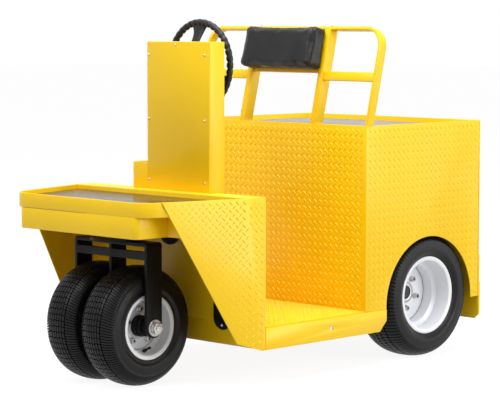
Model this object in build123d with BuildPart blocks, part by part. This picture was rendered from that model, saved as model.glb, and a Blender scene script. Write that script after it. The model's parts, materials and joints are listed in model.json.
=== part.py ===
"""Electric tow tractor with a stand-on platform, a steered twin front wheel and a cargo box.

Sizes are in millimetres.  X points to the vehicle's left, Y to its rear and Z up.  The wheels
stand on Z = 0, and the origin is the middle of the length and of the width.
"""

from math import cos, radians, sin, tan
import os

from build123d import *

os.makedirs("parts", exist_ok=True)

# Plate and fits
plate = 4.5
sheet = 3.0
bar = 12.7
seat_gap = 0.3
pin_gap = 0.1
overrun = 40.0

# Body
body_width = 856.0
box_length = 628.5
box_top = 844.5
floor_drop = 21.5
sill_height = 75.0
sill_flange = 50.0
sill_tail_gap = 25.5
sill_chamfer = 36.0
sill_hole = 7.0
sill_hole_back = 172.0
step_length = 494.0

# Wheels
front_tyre_od = 400.0
front_tyre_width = 146.0
front_spacing = 176.0
rear_tyre_od = 449.0
rear_tyre_width = 176.0
axle_share = 0.941
fork_setback = 762.3
track_inset = 98.0
well_margin = 27.5
well_sheet = 2.5
well_setin = 223.0

# Rear end
bumper_plate = 9.0
bumper_drop = 10.0
bumper_height = 135.5
bumper_corner = 20.0
kick_height = 103.0
hitch_reach = 88.0

# Front tray and its side plates
cowl_depth = 83.5
kink_lean = 47.5
tray_length = 367.5
taper = 15.5
tray_corner = 78.0
rim_height = 48.0
wing_lead = 302.5
wing_foot = 75.0
pan_drop = 18.0
apron_rise = 31.0
apron_height = 70.0
apron_half = 293.5
apron_corner = 25.0
apron_depth = 135.0
fork_rise = 80.0

half = body_width / 2
fork_top = front_tyre_od + fork_rise
apron_bottom = fork_top + apron_rise
tray_top = apron_bottom + apron_height + rim_height
rear_track = body_width - 2 * track_inset
floor_top = rear_tyre_od / 2 - floor_drop
floor_under = floor_top - plate
well_radius = rear_tyre_od / 2 + well_margin
well_room = well_radius + well_sheet + plate
rear_axle_back = well_room + axle_share * (box_length - 2 * well_room)
sill_tail = rear_axle_back - rear_tyre_od / 2 - sill_tail_gap
sill_bottom = floor_under - sill_height
front_axle_z = front_tyre_od / 2
rear_axle_z = rear_tyre_od / 2
front_reach = fork_setback + front_tyre_od / 2
rear_reach = box_length + bumper_plate + hitch_reach
box_front = (front_reach - rear_reach) / 2
box_rear = box_front + box_length
bulkhead_rear = box_front - step_length
bulkhead_front = bulkhead_rear - plate
kink_top = bulkhead_rear - cowl_depth
kink_bottom = kink_top + kink_lean
tray_front = kink_top - tray_length
fork_y = box_front - fork_setback
rear_axle_y = box_front + rear_axle_back
side_inside = half - plate
pan_top = tray_top - pan_drop
pan_under = pan_top - sheet


def block(x_low, x_high, y_low, y_high, z_low, z_high, mode=Mode.ADD):
    """A block between two corners, joined to or cut from the part being built."""
    middle = ((x_low + x_high) / 2, (y_low + y_high) / 2, (z_low + z_high) / 2)
    with Locations(middle):
        Box(x_high - x_low, y_high - y_low, z_high - z_low, mode=mode)


def facing_front(y, x=0.0, z=0.0):
    """A plane across the vehicle whose normal points forward and whose y runs up."""
    return Plane(origin=(x, y, z), x_dir=(1, 0, 0), z_dir=(0, -1, 0))


def facing_left(x, y=0.0, z=0.0):
    """A plane along the vehicle whose normal points left, with x to the rear and y up."""
    return Plane(origin=(x, y, z), x_dir=(0, 1, 0), z_dir=(1, 0, 0))


def save(piece, name):
    """Name the finished piece and write it."""
    piece.part.label = name
    export_step(piece.part, f"parts/{name}.step")


def save_pair(piece, name):
    """Write the left-hand piece and its mirror image."""
    save(piece, f"{name}_left")
    with BuildPart() as twin:
        mirror(piece.part, about=Plane.YZ)
    save(twin, f"{name}_right")


def save_both(piece, name):
    """Write the left-hand piece and its mirror image as one part."""
    with BuildPart() as both:
        add(piece.part)
        mirror(piece.part, about=Plane.YZ)
    save(both, name)


# Underframe: channel sills with a cut-back tail, longitudinal rails and a front cross channel
rail_setin = 263.0
rail_centre = half - rail_setin
rail_width = 40.0
rail_height = 60.0
rail_wall = 4.0
cross_flange = 40.0

with BuildPart() as sill:
    tail_y = box_front + sill_tail
    with BuildSketch(facing_left(half)):
        with BuildLine():
            Polyline(
                (bulkhead_rear, sill_bottom),
                (tail_y - sill_chamfer, sill_bottom),
                (tail_y, sill_bottom + sill_chamfer),
                (tail_y, floor_under),
                (bulkhead_rear, floor_under),
                close=True,
            )
        make_face()
        with Locations((box_front - sill_hole_back, (sill_bottom + floor_under) / 2)):
            Circle(sill_hole, mode=Mode.SUBTRACT)
    extrude(amount=-plate)
    for z_low in (sill_bottom, floor_under - plate):
        flange_end = tail_y - sill_chamfer if z_low == sill_bottom else tail_y
        block(half - sill_flange, half - plate, bulkhead_rear, flange_end, z_low, z_low + plate)
save_both(sill, "sills")

with BuildPart() as rail:
    rail_bottom = floor_under - rail_height
    rail_low = rail_centre - rail_width / 2
    rail_high = rail_centre + rail_width / 2
    block(rail_low, rail_high, bulkhead_rear + cross_flange, box_rear, rail_bottom, floor_under)
    block(
        rail_low + rail_wall,
        rail_high - rail_wall,
        bulkhead_rear,
        box_rear + overrun,
        rail_bottom + rail_wall,
        floor_under - rail_wall,
        Mode.SUBTRACT,
    )
save_both(rail, "rails")

with BuildPart() as front_crossmember:
    flange_half = half - sill_flange - seat_gap
    block(-side_inside, side_inside, bulkhead_front, bulkhead_rear, sill_bottom, floor_under)
    for z_low in (sill_bottom, floor_under - plate):
        block(
            -flange_half, flange_half, bulkhead_rear, bulkhead_rear + cross_flange, z_low, z_low + plate
        )
save(front_crossmember, "front_crossmember")

# Platform floor and bulkhead with the cowl folded forward from its top
with BuildPart() as floor_plate:
    block(-half, half, bulkhead_rear, box_front, floor_under, floor_top)
save(floor_plate, "floor_plate")

oval_x = 232.0
oval_rise = 28.0
oval_z = floor_top + oval_rise
oval_width = 84.0
oval_height = 120.0
oval_stand = 6.0
tower_low_x = -109.0
tower_high_x = 195.0
tower_front_gap = 32.0
tower_depth = 71.0
tower_rise = 504.0
tower_skirt = 70.0
tower_front = bulkhead_rear - tower_front_gap
tower_rear = tower_front + tower_depth
tower_top = tray_top + tower_rise

with BuildPart() as bulkhead:
    block(-side_inside, side_inside, bulkhead_front, bulkhead_rear, floor_under, tray_top)
    cowl_half = side_inside - seat_gap
    block(-cowl_half, cowl_half, kink_top, bulkhead_front, tray_top - plate, tray_top)
save(bulkhead, "bulkhead")

with BuildPart() as access_cover:
    with BuildSketch(facing_front(bulkhead_front, oval_x, oval_z)):
        SlotOverall(oval_height, oval_width, rotation=90)
    extrude(amount=oval_stand)
    fillet(access_cover.faces().sort_by(Axis.Y)[0].edges(), radius=oval_stand / 2)
save(access_cover, "access_cover")

# Side plates of the nose: a straight strip, then a plate turned inwards along a leaning fold
slope = tan(radians(taper))
wing_top_front = Vector(half - wing_lead * slope, kink_top - wing_lead, tray_top)
fold_top = Vector(half, kink_top, tray_top)
fold_bottom = Vector(half, kink_bottom, sill_bottom)
wing_normal = (fold_bottom - fold_top).cross(wing_top_front - fold_top)
foot_y = kink_bottom - wing_foot
foot_x = half - (
    wing_normal.Y * (foot_y - kink_top) + wing_normal.Z * (sill_bottom - tray_top)
) / wing_normal.X
wing_foot_front = Vector(foot_x, foot_y, sill_bottom)
wing_lean = -wing_normal.Z / wing_normal.X
rim_inset = plate + rim_height * wing_lean + seat_gap
pan_inset = rim_inset + plate + seat_gap

with BuildPart() as wing:
    with BuildSketch(facing_left(half)):
        with BuildLine():
            Polyline(
                (bulkhead_rear, sill_bottom),
                (bulkhead_rear, tray_top),
                (kink_top, tray_top),
                (kink_bottom, sill_bottom),
                close=True,
            )
        make_face()
    extrude(amount=-plate)
    wing_plane = Plane(origin=fold_top, x_dir=wing_top_front - fold_top, z_dir=wing_normal)
    corners = [
        wing_plane.to_local_coords(corner)
        for corner in (fold_top, wing_top_front, wing_foot_front, fold_bottom)
    ]
    with BuildSketch(wing_plane):
        with BuildLine():
            Polyline([(corner.X, corner.Y) for corner in corners], close=True)
        make_face()
    inward = plate if wing_normal.X < 0 else -plate
    extrude(amount=inward)
save_pair(wing, "wing")


# Tray: a pan inside a bent flat-bar rim, with a rubber mat
def tray_side(y, inset):
    """Half width of the tray at y, set in from the outside of the side plates."""
    return half - (kink_top - y) * slope - inset / cos(radians(taper))


def tray_shape(z, inset, back):
    """The tray's plan, set in all round from its outside, from the front to back."""
    front = tray_front + inset - rim_inset
    with BuildSketch(Plane.XY.offset(z)) as shape:
        with BuildLine():
            Polyline(
                (tray_side(back, inset), back),
                (tray_side(front, inset), front),
                (-tray_side(front, inset), front),
                (-tray_side(back, inset), back),
                close=True,
            )
        make_face()
        front_corners = shape.vertices().group_by(Axis.Y)[0]
        fillet(front_corners, radius=tray_corner + rim_inset - inset)
    return shape.sketch


with BuildPart() as tray_rim:
    extrude(tray_shape(tray_top - rim_height, rim_inset, kink_top), amount=rim_height)
    extrude(
        tray_shape(tray_top - rim_height, rim_inset + plate, kink_top + overrun),
        amount=rim_height,
        mode=Mode.SUBTRACT,
    )
save(tray_rim, "tray_rim")

with BuildPart() as tray_pan:
    extrude(tray_shape(pan_under, pan_inset, kink_top), amount=sheet)
    pan_back = tray_side(kink_top - sheet, pan_inset)
    block(-pan_back, pan_back, kink_top - sheet, kink_top, pan_under, tray_top)
save(tray_pan, "tray_pan")

mat_thick = 4.0
mat_inset = 6.0
with BuildPart() as tray_mat:
    extrude(
        tray_shape(pan_top, pan_inset + mat_inset, kink_top - sheet - mat_inset),
        amount=mat_thick,
    )
save(tray_mat, "tray_mat")

# Apron under the rim: a front plate turned back at both ends, and the cross plate behind it
apron_back = tray_front + apron_depth
with BuildPart() as front_apron:
    for inset, mode in ((0.0, Mode.ADD), (plate, Mode.SUBTRACT)):
        back = apron_back + (overrun if inset else 0.0)
        with BuildSketch(Plane.XY.offset(apron_bottom), mode=Mode.PRIVATE) as apron_plan:
            with Locations((0, (tray_front + inset + back) / 2)):
                Rectangle(2 * (apron_half - inset), back - tray_front - inset)
            fillet(apron_plan.vertices().group_by(Axis.Y)[0], radius=apron_corner - inset)
        extrude(apron_plan.sketch, amount=apron_height, mode=mode)
save(front_apron, "front_apron")

cross_half = tray_side(apron_back, plate) - (tray_top - apron_bottom) * wing_lean - seat_gap
rim_inside = tray_side(apron_back, pan_inset)
with BuildPart() as tray_crossbar:
    block(-cross_half, cross_half, apron_back, apron_back + plate, apron_bottom, tray_top - rim_height)
    block(
        -rim_inside, rim_inside, apron_back, apron_back + plate, tray_top - rim_height, pan_under
    )
save(tray_crossbar, "tray_crossbar")

# Kingpin housing under the pan, with the closed steering gear behind it
kingpin_radius = 20.0
turntable_radius = 92.0
turntable_thick = 8.0
housing_radius = 33.0
housing_web = 5.0
housing_half = 70.0
web_rise = 64.0
housing_web_bottom = fork_top + web_rise
housing_plate = 10.0
gear_half = 45.0
gear_front_gap = seat_gap
gear_length = 85.0
gear_rise = 41.0
gear_bottom = fork_top + gear_rise
column_radius = 18.0
column_rise = 81.0
column_z = fork_top + column_rise

turntable_top = fork_top + turntable_thick
housing_bottom = turntable_top + seat_gap
housing_plate_under = pan_under - housing_plate
with BuildPart() as kingpin_housing:
    web_front = apron_back + plate
    block(-housing_half, housing_half, web_front, bulkhead_front, housing_plate_under, pan_under)
    for x_low in (-housing_half, housing_half - housing_web):
        block(
            x_low,
            x_low + housing_web,
            web_front,
            bulkhead_front,
            housing_web_bottom,
            housing_plate_under,
        )
    with BuildSketch(Plane.XY.offset(housing_bottom)):
        with Locations((0, fork_y)):
            Circle(housing_radius)
    extrude(amount=housing_plate_under - housing_bottom)
    with Locations((0, fork_y, housing_plate_under)):
        Hole(kingpin_radius + seat_gap, depth=housing_plate_under - housing_bottom)
save(kingpin_housing, "kingpin_housing")

gear_front = fork_y + housing_radius + gear_front_gap
gear_back = gear_front + gear_length
with BuildPart() as steering_gear:
    block(-gear_half, gear_half, gear_front, gear_back, gear_bottom, housing_plate_under - seat_gap)
    fillet(steering_gear.edges().filter_by(Axis.Z), radius=gear_half / 4)
    with BuildSketch(facing_front(bulkhead_front - seat_gap, 0, column_z)):
        Circle(column_radius)
    extrude(amount=bulkhead_front - seat_gap - gear_back)
save(steering_gear, "steering_gear")

# Disc horn on a bent strap behind the apron
horn_x = 22.0
horn_rise = 15.0
horn_z = fork_top + horn_rise
horn_radius = 49.0
horn_thick = 30.0
horn_dome = 9.0
horn_strap = 26.0
horn_stand = 22.0
horn_back = bulkhead_front - horn_stand
with BuildPart() as horn:
    with BuildSketch(facing_left(horn_x, horn_back, horn_z)):
        with BuildLine():
            Polyline(
                (-horn_thick - horn_dome, 0),
                (-horn_thick - horn_dome, horn_radius / 4),
                (-horn_thick, horn_radius),
                (-horn_thick / 2, horn_radius),
                (0, horn_radius / 2),
                (0, 0),
                close=True,
            )
        make_face()
    revolve(axis=Axis((horn_x, horn_back, horn_z), (0, 1, 0)))
    block(
        horn_x - horn_strap / 2,
        horn_x + horn_strap / 2,
        horn_back - sheet,
        bulkhead_front,
        horn_z - sheet,
        horn_z + sheet,
    )
save(horn, "horn")

# Steering tower: folded shell, screwed front cover and a bolt-on pocket
cover_radius = 3.0
wheel_axis_drop = 80.2
shaft_radius = 12.5
shell_front = tower_front + sheet
wheel_axis_z = tower_top - wheel_axis_drop
with BuildPart() as tower_shell:
    block(tower_low_x, tower_high_x, shell_front, tower_rear, tray_top, tower_top)
    block(tower_low_x, tower_high_x, bulkhead_rear, tower_rear, tray_top - tower_skirt, tray_top)
    block(
        tower_low_x + sheet,
        tower_high_x - sheet,
        shell_front - overrun,
        tower_rear - sheet,
        tray_top - tower_skirt - overrun,
        tower_top - sheet,
        Mode.SUBTRACT,
    )
    with BuildSketch(facing_front(tower_rear + overrun, 0, wheel_axis_z)):
        Circle(shaft_radius + cover_radius)
    extrude(amount=overrun + 2 * sheet, mode=Mode.SUBTRACT)
save(tower_shell, "tower_shell")

with BuildPart() as tower_cover:
    block(tower_low_x, tower_high_x, tower_front, shell_front, tray_top, tower_top)
    fillet(tower_cover.edges().filter_by(Axis.Y), radius=cover_radius)
save(tower_cover, "tower_cover")

pocket_width = 72.0
pocket_height = 90.0
pocket_wall = 2.0
pocket_high = tower_low_x - seat_gap
pocket_low = pocket_high - pocket_width
pocket_rear = tower_rear - sheet
with BuildPart() as side_pocket:
    block(pocket_low, pocket_high, tower_front, pocket_rear, tray_top, tray_top + pocket_height)
    block(
        pocket_low + pocket_wall,
        pocket_high - pocket_wall,
        tower_front + pocket_wall,
        pocket_rear - pocket_wall,
        tray_top + pocket_wall,
        tray_top + pocket_height + overrun,
        Mode.SUBTRACT,
    )
save(side_pocket, "side_pocket")

panel_low_x = 78.0
panel_width = 96.0
panel_top_drop = 40.0
panel_height = 150.0
panel_depth = 16.0
switch_radius = 13.0
switch_stand = 7.0
switch_shares = (0.2, 0.5, 0.8)
panel_high_z = tower_top - panel_top_drop
with BuildPart() as switch_panel:
    panel_rear = tower_rear + panel_depth
    block(
        panel_low_x,
        panel_low_x + panel_width,
        tower_rear,
        panel_rear,
        panel_high_z - panel_height,
        panel_high_z,
    )
    fillet(switch_panel.edges().filter_by(Axis.Y), radius=panel_depth / 2)
    fillet(switch_panel.faces().sort_by(Axis.Y)[-1].edges(), radius=panel_depth / 4)
    for share in switch_shares:
        switch_x = panel_low_x + panel_width / 2
        with BuildSketch(facing_front(panel_rear, switch_x, panel_high_z - share * panel_height)):
            Circle(switch_radius)
        extrude(amount=-switch_stand)
save(switch_panel, "switch_panel")

# Flange bearing of the steering shaft on the tower's rear face
bearing_side = 74.0
bearing_thick = 9.0
with BuildPart() as shaft_bearing:
    with BuildSketch(facing_front(tower_rear, 0, wheel_axis_z)):
        RectangleRounded(bearing_side, bearing_side, bearing_side / 4)
        Circle(shaft_radius + seat_gap, mode=Mode.SUBTRACT)
    extrude(amount=-bearing_thick)
save(shaft_bearing, "shaft_bearing")

# Pedals on the platform, behind the bulkhead
pedal_width = 76.0
pedal_length = 118.0
pedal_thick = 8.0
pedal_tilt = 38.0
pedal_foot = 30.0
pedal_gap = 80.0
pedal_places = (-170.0, -60.0)
with BuildPart() as pedals:
    for x_middle in pedal_places:
        pedal_plane = Plane(
            origin=(x_middle, bulkhead_rear + pedal_gap, floor_top),
            x_dir=(1, 0, 0),
            z_dir=(0, sin(radians(pedal_tilt)), cos(radians(pedal_tilt))),
        )
        with BuildSketch(pedal_plane.offset(pedal_foot)):
            with Locations((0, -pedal_length / 2 + pedal_foot)):
                RectangleRounded(pedal_width, pedal_length, pedal_thick)
        extrude(amount=pedal_thick)
        block(
            x_middle - pedal_foot / 2,
            x_middle + pedal_foot / 2,
            bulkhead_rear + pedal_gap,
            bulkhead_rear + pedal_gap + pedal_foot,
            floor_top,
            floor_top + pedal_foot,
        )
save(pedals, "pedals")

# Cargo box: four wall plates, the wheel arches and a recessed deck
arch_margin = 10.5
arch_radius = rear_tyre_od / 2 + arch_margin
arch_lead = 15.0
arch_drop = 20.5
arch_z = rear_axle_z - arch_drop
deck_drop = 18.0
deck_mat = 4.0

with BuildPart() as body_front:
    block(-half, half, box_front, box_front + plate, floor_top, box_top)
    block(-side_inside, side_inside, box_front, box_front + plate, floor_under, floor_top)
save(body_front, "body_front")

with BuildPart() as body_side:
    with BuildSketch(facing_left(half)):
        with BuildLine():
            Polyline(
                (box_front + plate, floor_under),
                (box_rear - plate, floor_under),
                (box_rear - plate, box_top),
                (box_front + plate, box_top),
                close=True,
            )
        make_face()
        with Locations((rear_axle_y - arch_lead, arch_z)):
            Circle(arch_radius, mode=Mode.SUBTRACT)
    extrude(amount=-plate)
save_pair(body_side, "body_side")

with BuildPart() as body_rear:
    block(-half, half, box_rear - plate, box_rear, floor_under, box_top)
save(body_rear, "body_rear")

deck_top = box_top - deck_drop - deck_mat
deck_low = box_front + plate
deck_high = box_rear - plate
with BuildPart() as deck_plate:
    block(-side_inside, side_inside, deck_low, deck_high, deck_top - sheet, deck_top)
save(deck_plate, "deck_plate")

with BuildPart() as deck_cover:
    block(
        -side_inside + mat_inset,
        side_inside - mat_inset,
        deck_low + mat_inset,
        deck_high - mat_inset,
        deck_top,
        deck_top + deck_mat,
    )
save(deck_cover, "deck_mat")

# Wheel wells behind the arches
well_inside = half - well_setin
axle_slot = 50.0
with BuildPart() as wheel_well:
    with BuildSketch(facing_left(side_inside, rear_axle_y, rear_axle_z)):
        Circle(well_radius + well_sheet)
        with Locations((0, floor_under - rear_axle_z - well_radius)):
            Rectangle(4 * well_radius, 2 * well_radius, mode=Mode.SUBTRACT)
    extrude(amount=-(side_inside - well_inside))
    with BuildSketch(facing_left(side_inside + overrun, rear_axle_y, rear_axle_z)):
        Circle(well_radius)
    extrude(amount=-(side_inside + overrun - well_inside - well_sheet), mode=Mode.SUBTRACT)
    block(
        well_inside - overrun,
        well_inside + overrun,
        rear_axle_y - axle_slot,
        rear_axle_y + axle_slot,
        floor_under - overrun,
        rear_axle_z + axle_slot,
        Mode.SUBTRACT,
    )
save_both(wheel_well, "wheel_wells")

# Battery block on its tray, hung between the front and rear walls of the box
tray_rise = 105.5
tray_z = rear_axle_z + tray_rise
tray_flange = 60.0
battery_side_gap = 25.0
battery_width = 2 * (well_inside - battery_side_gap)
battery_gap = 45.0
battery_length = box_length - 2 * plate - 2 * battery_gap
battery_height = 275.0
with BuildPart() as battery_tray:
    tray_half = battery_width / 2 + plate
    block(-tray_half, tray_half, deck_low, deck_high, tray_z, tray_z + plate)
    for y_low in (deck_low, deck_high - plate):
        block(-tray_half, tray_half, y_low, y_low + plate, tray_z, tray_z + tray_flange)
save(battery_tray, "battery_tray")

with BuildPart() as battery_pack:
    battery_middle = (deck_low + deck_high) / 2
    block(
        -battery_width / 2,
        battery_width / 2,
        battery_middle - battery_length / 2,
        battery_middle + battery_length / 2,
        tray_z + plate,
        tray_z + plate + battery_height,
    )
save(battery_pack, "battery_pack")

# Rear axle, brake backing plates and motor
axle_tube = 25.0
spindle_radius = 18.0
rear_x = rear_track / 2
spindle_setin = 30.0
spindle_end = rear_x - spindle_setin
diff_radius = 72.0
diff_half = 60.0
backing_radius = 88.0
backing_thick = 5.0
backing_setin = 98.0
backing_x = rear_x - backing_setin
saddle_half = 34.0
with BuildPart() as rear_axle:
    with BuildSketch(Plane.XY.offset(rear_axle_z)):
        with BuildLine():
            Polyline(
                (-spindle_end, rear_axle_y),
                (-spindle_end, rear_axle_y + spindle_radius),
                (-backing_x - backing_thick, rear_axle_y + spindle_radius),
                (-backing_x - backing_thick, rear_axle_y + backing_radius),
                (-backing_x, rear_axle_y + backing_radius),
                (-backing_x, rear_axle_y + axle_tube),
                (-diff_half, rear_axle_y + axle_tube),
                (-diff_half / 2, rear_axle_y + diff_radius),
                (diff_half / 2, rear_axle_y + diff_radius),
                (diff_half, rear_axle_y + axle_tube),
                (backing_x, rear_axle_y + axle_tube),
                (backing_x, rear_axle_y + backing_radius),
                (backing_x + backing_thick, rear_axle_y + backing_radius),
                (backing_x + backing_thick, rear_axle_y + spindle_radius),
                (spindle_end, rear_axle_y + spindle_radius),
                (spindle_end, rear_axle_y),
                close=True,
            )
        make_face()
    revolve(axis=Axis((0, rear_axle_y, rear_axle_z), (1, 0, 0)))
    for side in (1, -1):
        middle = side * rail_centre
        block(
            middle - rail_width / 2,
            middle + rail_width / 2,
            rear_axle_y - saddle_half,
            rear_axle_y + saddle_half,
            floor_under,
            rear_axle_z + axle_tube + plate,
        )
save(rear_axle, "rear_axle")

motor_radius = 70.0
motor_length = 190.0
motor_neck = 34.0
with BuildPart() as drive_motor:
    motor_back = rear_axle_y - diff_radius - seat_gap
    motor_front = motor_back - motor_length
    with BuildSketch(facing_front(motor_back, 0, rear_axle_z)):
        Circle(motor_neck)
    extrude(amount=motor_neck)
    with BuildSketch(facing_front(motor_back - motor_neck / 2, 0, rear_axle_z)):
        Circle(motor_radius)
    extrude(amount=motor_length - motor_neck / 2)
    fillet(
        drive_motor.edges().filter_by(GeomType.CIRCLE).filter_by(lambda edge: edge.radius > motor_neck),
        radius=motor_neck / 4,
    )
save(drive_motor, "drive_motor")

# Rear bumper, kick plate and hitch
with BuildPart() as rear_bumper:
    bumper_bottom = sill_bottom - bumper_drop
    bumper_top = bumper_bottom + bumper_height
    with BuildSketch(facing_front(box_rear + bumper_plate)):
        with Locations((0, (bumper_bottom + bumper_top) / 2)):
            bumper_face = Rectangle(body_width, bumper_height)
        chamfer(bumper_face.vertices().group_by(Axis.Y)[0], length=bumper_corner)
    extrude(amount=bumper_plate)
    block(-half, half, box_rear, box_rear + plate, bumper_top, bumper_top + kick_height)
save(rear_bumper, "rear_bumper")

hitch_rise = 1.5
hitch_z = floor_under + hitch_rise
hitch_base = 12.0
hitch_width = 110.0
hitch_height = 120.0
hitch_ear = 16.0
hitch_gap = 40.0
hitch_ear_width = 64.0
hitch_bore = 13.0
with BuildPart() as hitch:
    hitch_face = box_rear + bumper_plate
    eye_y = hitch_face + hitch_reach - hitch_ear_width / 2
    block(
        -hitch_width / 2,
        hitch_width / 2,
        hitch_face,
        hitch_face + hitch_base,
        hitch_z - hitch_height / 2,
        hitch_z + hitch_height / 2,
    )
    for z_low in (hitch_z - hitch_gap / 2 - hitch_ear, hitch_z + hitch_gap / 2):
        with BuildSketch(Plane.XY.offset(z_low)):
            with Locations((0, (hitch_face + hitch_base + eye_y) / 2)):
                Rectangle(hitch_ear_width, eye_y - hitch_face - hitch_base)
            with Locations((0, eye_y)):
                Circle(hitch_ear_width / 2)
                Circle(hitch_bore, mode=Mode.SUBTRACT)
        extrude(amount=hitch_ear)
save(hitch, "hitch")

# Backrest, leaning back from the top edge of the box
lean = 13.4
rest_back = 5.0
rest_rise = 340.5
hoop_bar = 12.0
hoop_depth = 32.0
hoop_corner = 75.0
post_centre = 174.0
post_width = 24.0
post_depth = 42.0
cross_height = 32.0
cross_low = 156.0
cross_step = 26.0
cushion_width = 340.0
cushion_height = 141.0
cushion_thick = 60.0
cushion_low = 193.0
cushion_corner = 16.0
cushion_back_corner = 3.0

rest_length = rest_rise / cos(radians(lean))
rest_plane = Plane(
    origin=(0, box_front + rest_back, box_top),
    x_dir=(1, 0, 0),
    z_dir=(0, -cos(radians(lean)), sin(radians(lean))),
)


def trim_base():
    """Cut the leaning bars off level with the top of the box."""
    low = box_top - 2 * overrun
    block(-body_width, body_width, box_front - overrun, box_rear, low, box_top, Mode.SUBTRACT)


with BuildPart() as backrest_hoop:
    with BuildSketch(rest_plane):
        with BuildLine():
            FilletPolyline(
                (half, -overrun),
                (half, rest_length),
                (-half, rest_length),
                (-half, -overrun),
                radius=hoop_corner,
            )
            FilletPolyline(
                (half - hoop_bar, -overrun),
                (half - hoop_bar, rest_length - hoop_bar),
                (-half + hoop_bar, rest_length - hoop_bar),
                (-half + hoop_bar, -overrun),
                radius=hoop_corner - hoop_bar,
            )
            Line((half, -overrun), (half - hoop_bar, -overrun))
            Line((-half, -overrun), (-half + hoop_bar, -overrun))
        make_face()
    extrude(amount=-hoop_depth)
    trim_base()
save(backrest_hoop, "backrest_hoop")

post_low = post_centre - post_width / 2
post_high = post_centre + post_width / 2
with BuildPart() as backrest_post:
    with BuildSketch(rest_plane.offset((post_depth - hoop_depth) / 2)):
        with Locations((post_centre, (rest_length - hoop_bar - overrun) / 2)):
            Rectangle(post_width, rest_length - hoop_bar + overrun)
    extrude(amount=-post_depth)
    trim_base()
save_both(backrest_post, "backrest_posts")

bar_high = half - hoop_bar
with BuildPart() as backrest_crossbars:
    with BuildSketch(rest_plane):
        with Locations((0, cross_low + cross_step + cross_height / 2)):
            Rectangle(2 * post_low, cross_height)
        for side in (1, -1):
            with Locations((side * (post_high + bar_high) / 2, cross_low + cross_height / 2)):
                Rectangle(bar_high - post_high, cross_height)
    extrude(amount=-hoop_bar)
save(backrest_crossbars, "backrest_crossbars")

post_front = (post_depth - hoop_depth) / 2
with BuildPart() as backrest_cushion:
    with BuildSketch(rest_plane.offset(post_front + seat_gap)):
        with Locations((0, cushion_low + cushion_height / 2)):
            Rectangle(cushion_width, cushion_height)
    extrude(amount=cushion_thick)
    back_face = backrest_cushion.faces().sort_by(Axis(rest_plane.origin, rest_plane.z_dir))[0]
    back_edges = back_face.edges()
    fillet(backrest_cushion.edges() - back_edges, radius=cushion_corner)
    back_face = backrest_cushion.faces().sort_by(Axis(rest_plane.origin, rest_plane.z_dir))[0]
    fillet(back_face.edges(), radius=cushion_back_corner)
save(backrest_cushion, "backrest_cushion")

# Fork: three legs under a top plate, with a crossbar at the front
fork_half = 179.4
leg_depth = 68.0
fork_bend = 12.0
fork_bar_height = 28.0
fork_bar_drop = 56.0
fork_bar_low = fork_top - fork_bar_drop
axle_radius = 10.0
with BuildPart() as fork_yoke:
    leg_rear = fork_y + leg_depth / 2
    leg_front = fork_y - leg_depth / 2
    for x_low in (-fork_half, -bar / 2, fork_half - bar):
        with BuildSketch(facing_left(x_low)):
            with Locations((fork_y, (front_axle_z + fork_top - bar) / 2)):
                Rectangle(leg_depth, fork_top - bar - front_axle_z)
            with Locations((fork_y, front_axle_z)):
                Circle(leg_depth / 2)
                Circle(axle_radius + seat_gap, mode=Mode.SUBTRACT)
        extrude(amount=bar)
    block(-fork_half, fork_half, leg_front, leg_rear, fork_top - bar, fork_top)
    fillet(
        fork_yoke.edges().filter_by(Axis.Y).group_by(Axis.Z)[-1],
        radius=fork_bend,
    )
    block(-fork_half, fork_half, leg_front, leg_front + bar, fork_bar_low, fork_bar_low + fork_bar_height)
save(fork_yoke, "fork_yoke")

with BuildPart() as kingpin:
    with BuildSketch(Plane.XY.offset(fork_top)):
        with Locations((0, fork_y)):
            Circle(turntable_radius)
    extrude(amount=turntable_thick)
    with BuildSketch(Plane.XY.offset(turntable_top)):
        with Locations((0, fork_y)):
            Circle(kingpin_radius)
    extrude(amount=housing_plate_under - turntable_top - seat_gap)
save(kingpin, "kingpin")

washer_radius = 31.0
washer_thick = 6.0
nut_radius = 21.0
nut_thick = 16.0
axle_tip = 8.0
with BuildPart() as front_axle:
    reach = fork_half + washer_thick + nut_thick + axle_tip
    with BuildSketch(facing_left(-reach, fork_y, front_axle_z)):
        Circle(axle_radius)
    extrude(amount=2 * reach)
    for side in (1, -1):
        outside = side * fork_half
        with BuildSketch(facing_left(outside, fork_y, front_axle_z)):
            Circle(washer_radius)
        extrude(amount=side * washer_thick)
        with BuildSketch(facing_left(outside + side * washer_thick, fork_y, front_axle_z)):
            RegularPolygon(nut_radius, 6)
        extrude(amount=side * nut_thick)
save(front_axle, "front_axle")


# Wheels: each rim is a turned barrel with a flat disc, each tyre a turned ring
lug_circle = 57.15
lug_radius = 11.0
lug_height = 15.0
lug_count = 5
front_lug_start = 90
rear_lug_start = -90
rim_wall = 4.0
disc_wall = 5.0
well_slope = 12.0
shoulder_out = 0.84
shoulder_up = 0.62
crown_out = 0.62
crown_up = 0.86


def turned(points, centre):
    """A ring turned about the wheel's axle from points given as x along the axle and radius."""
    x, y, z = centre
    with BuildSketch(Plane(origin=(x, y, z), x_dir=(1, 0, 0), z_dir=(0, 0, 1))) as profile:
        with BuildLine():
            Polyline(points, close=True)
        make_face()
    revolve(profile.sketch, axis=Axis((x, y, z), (1, 0, 0)))


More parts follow.
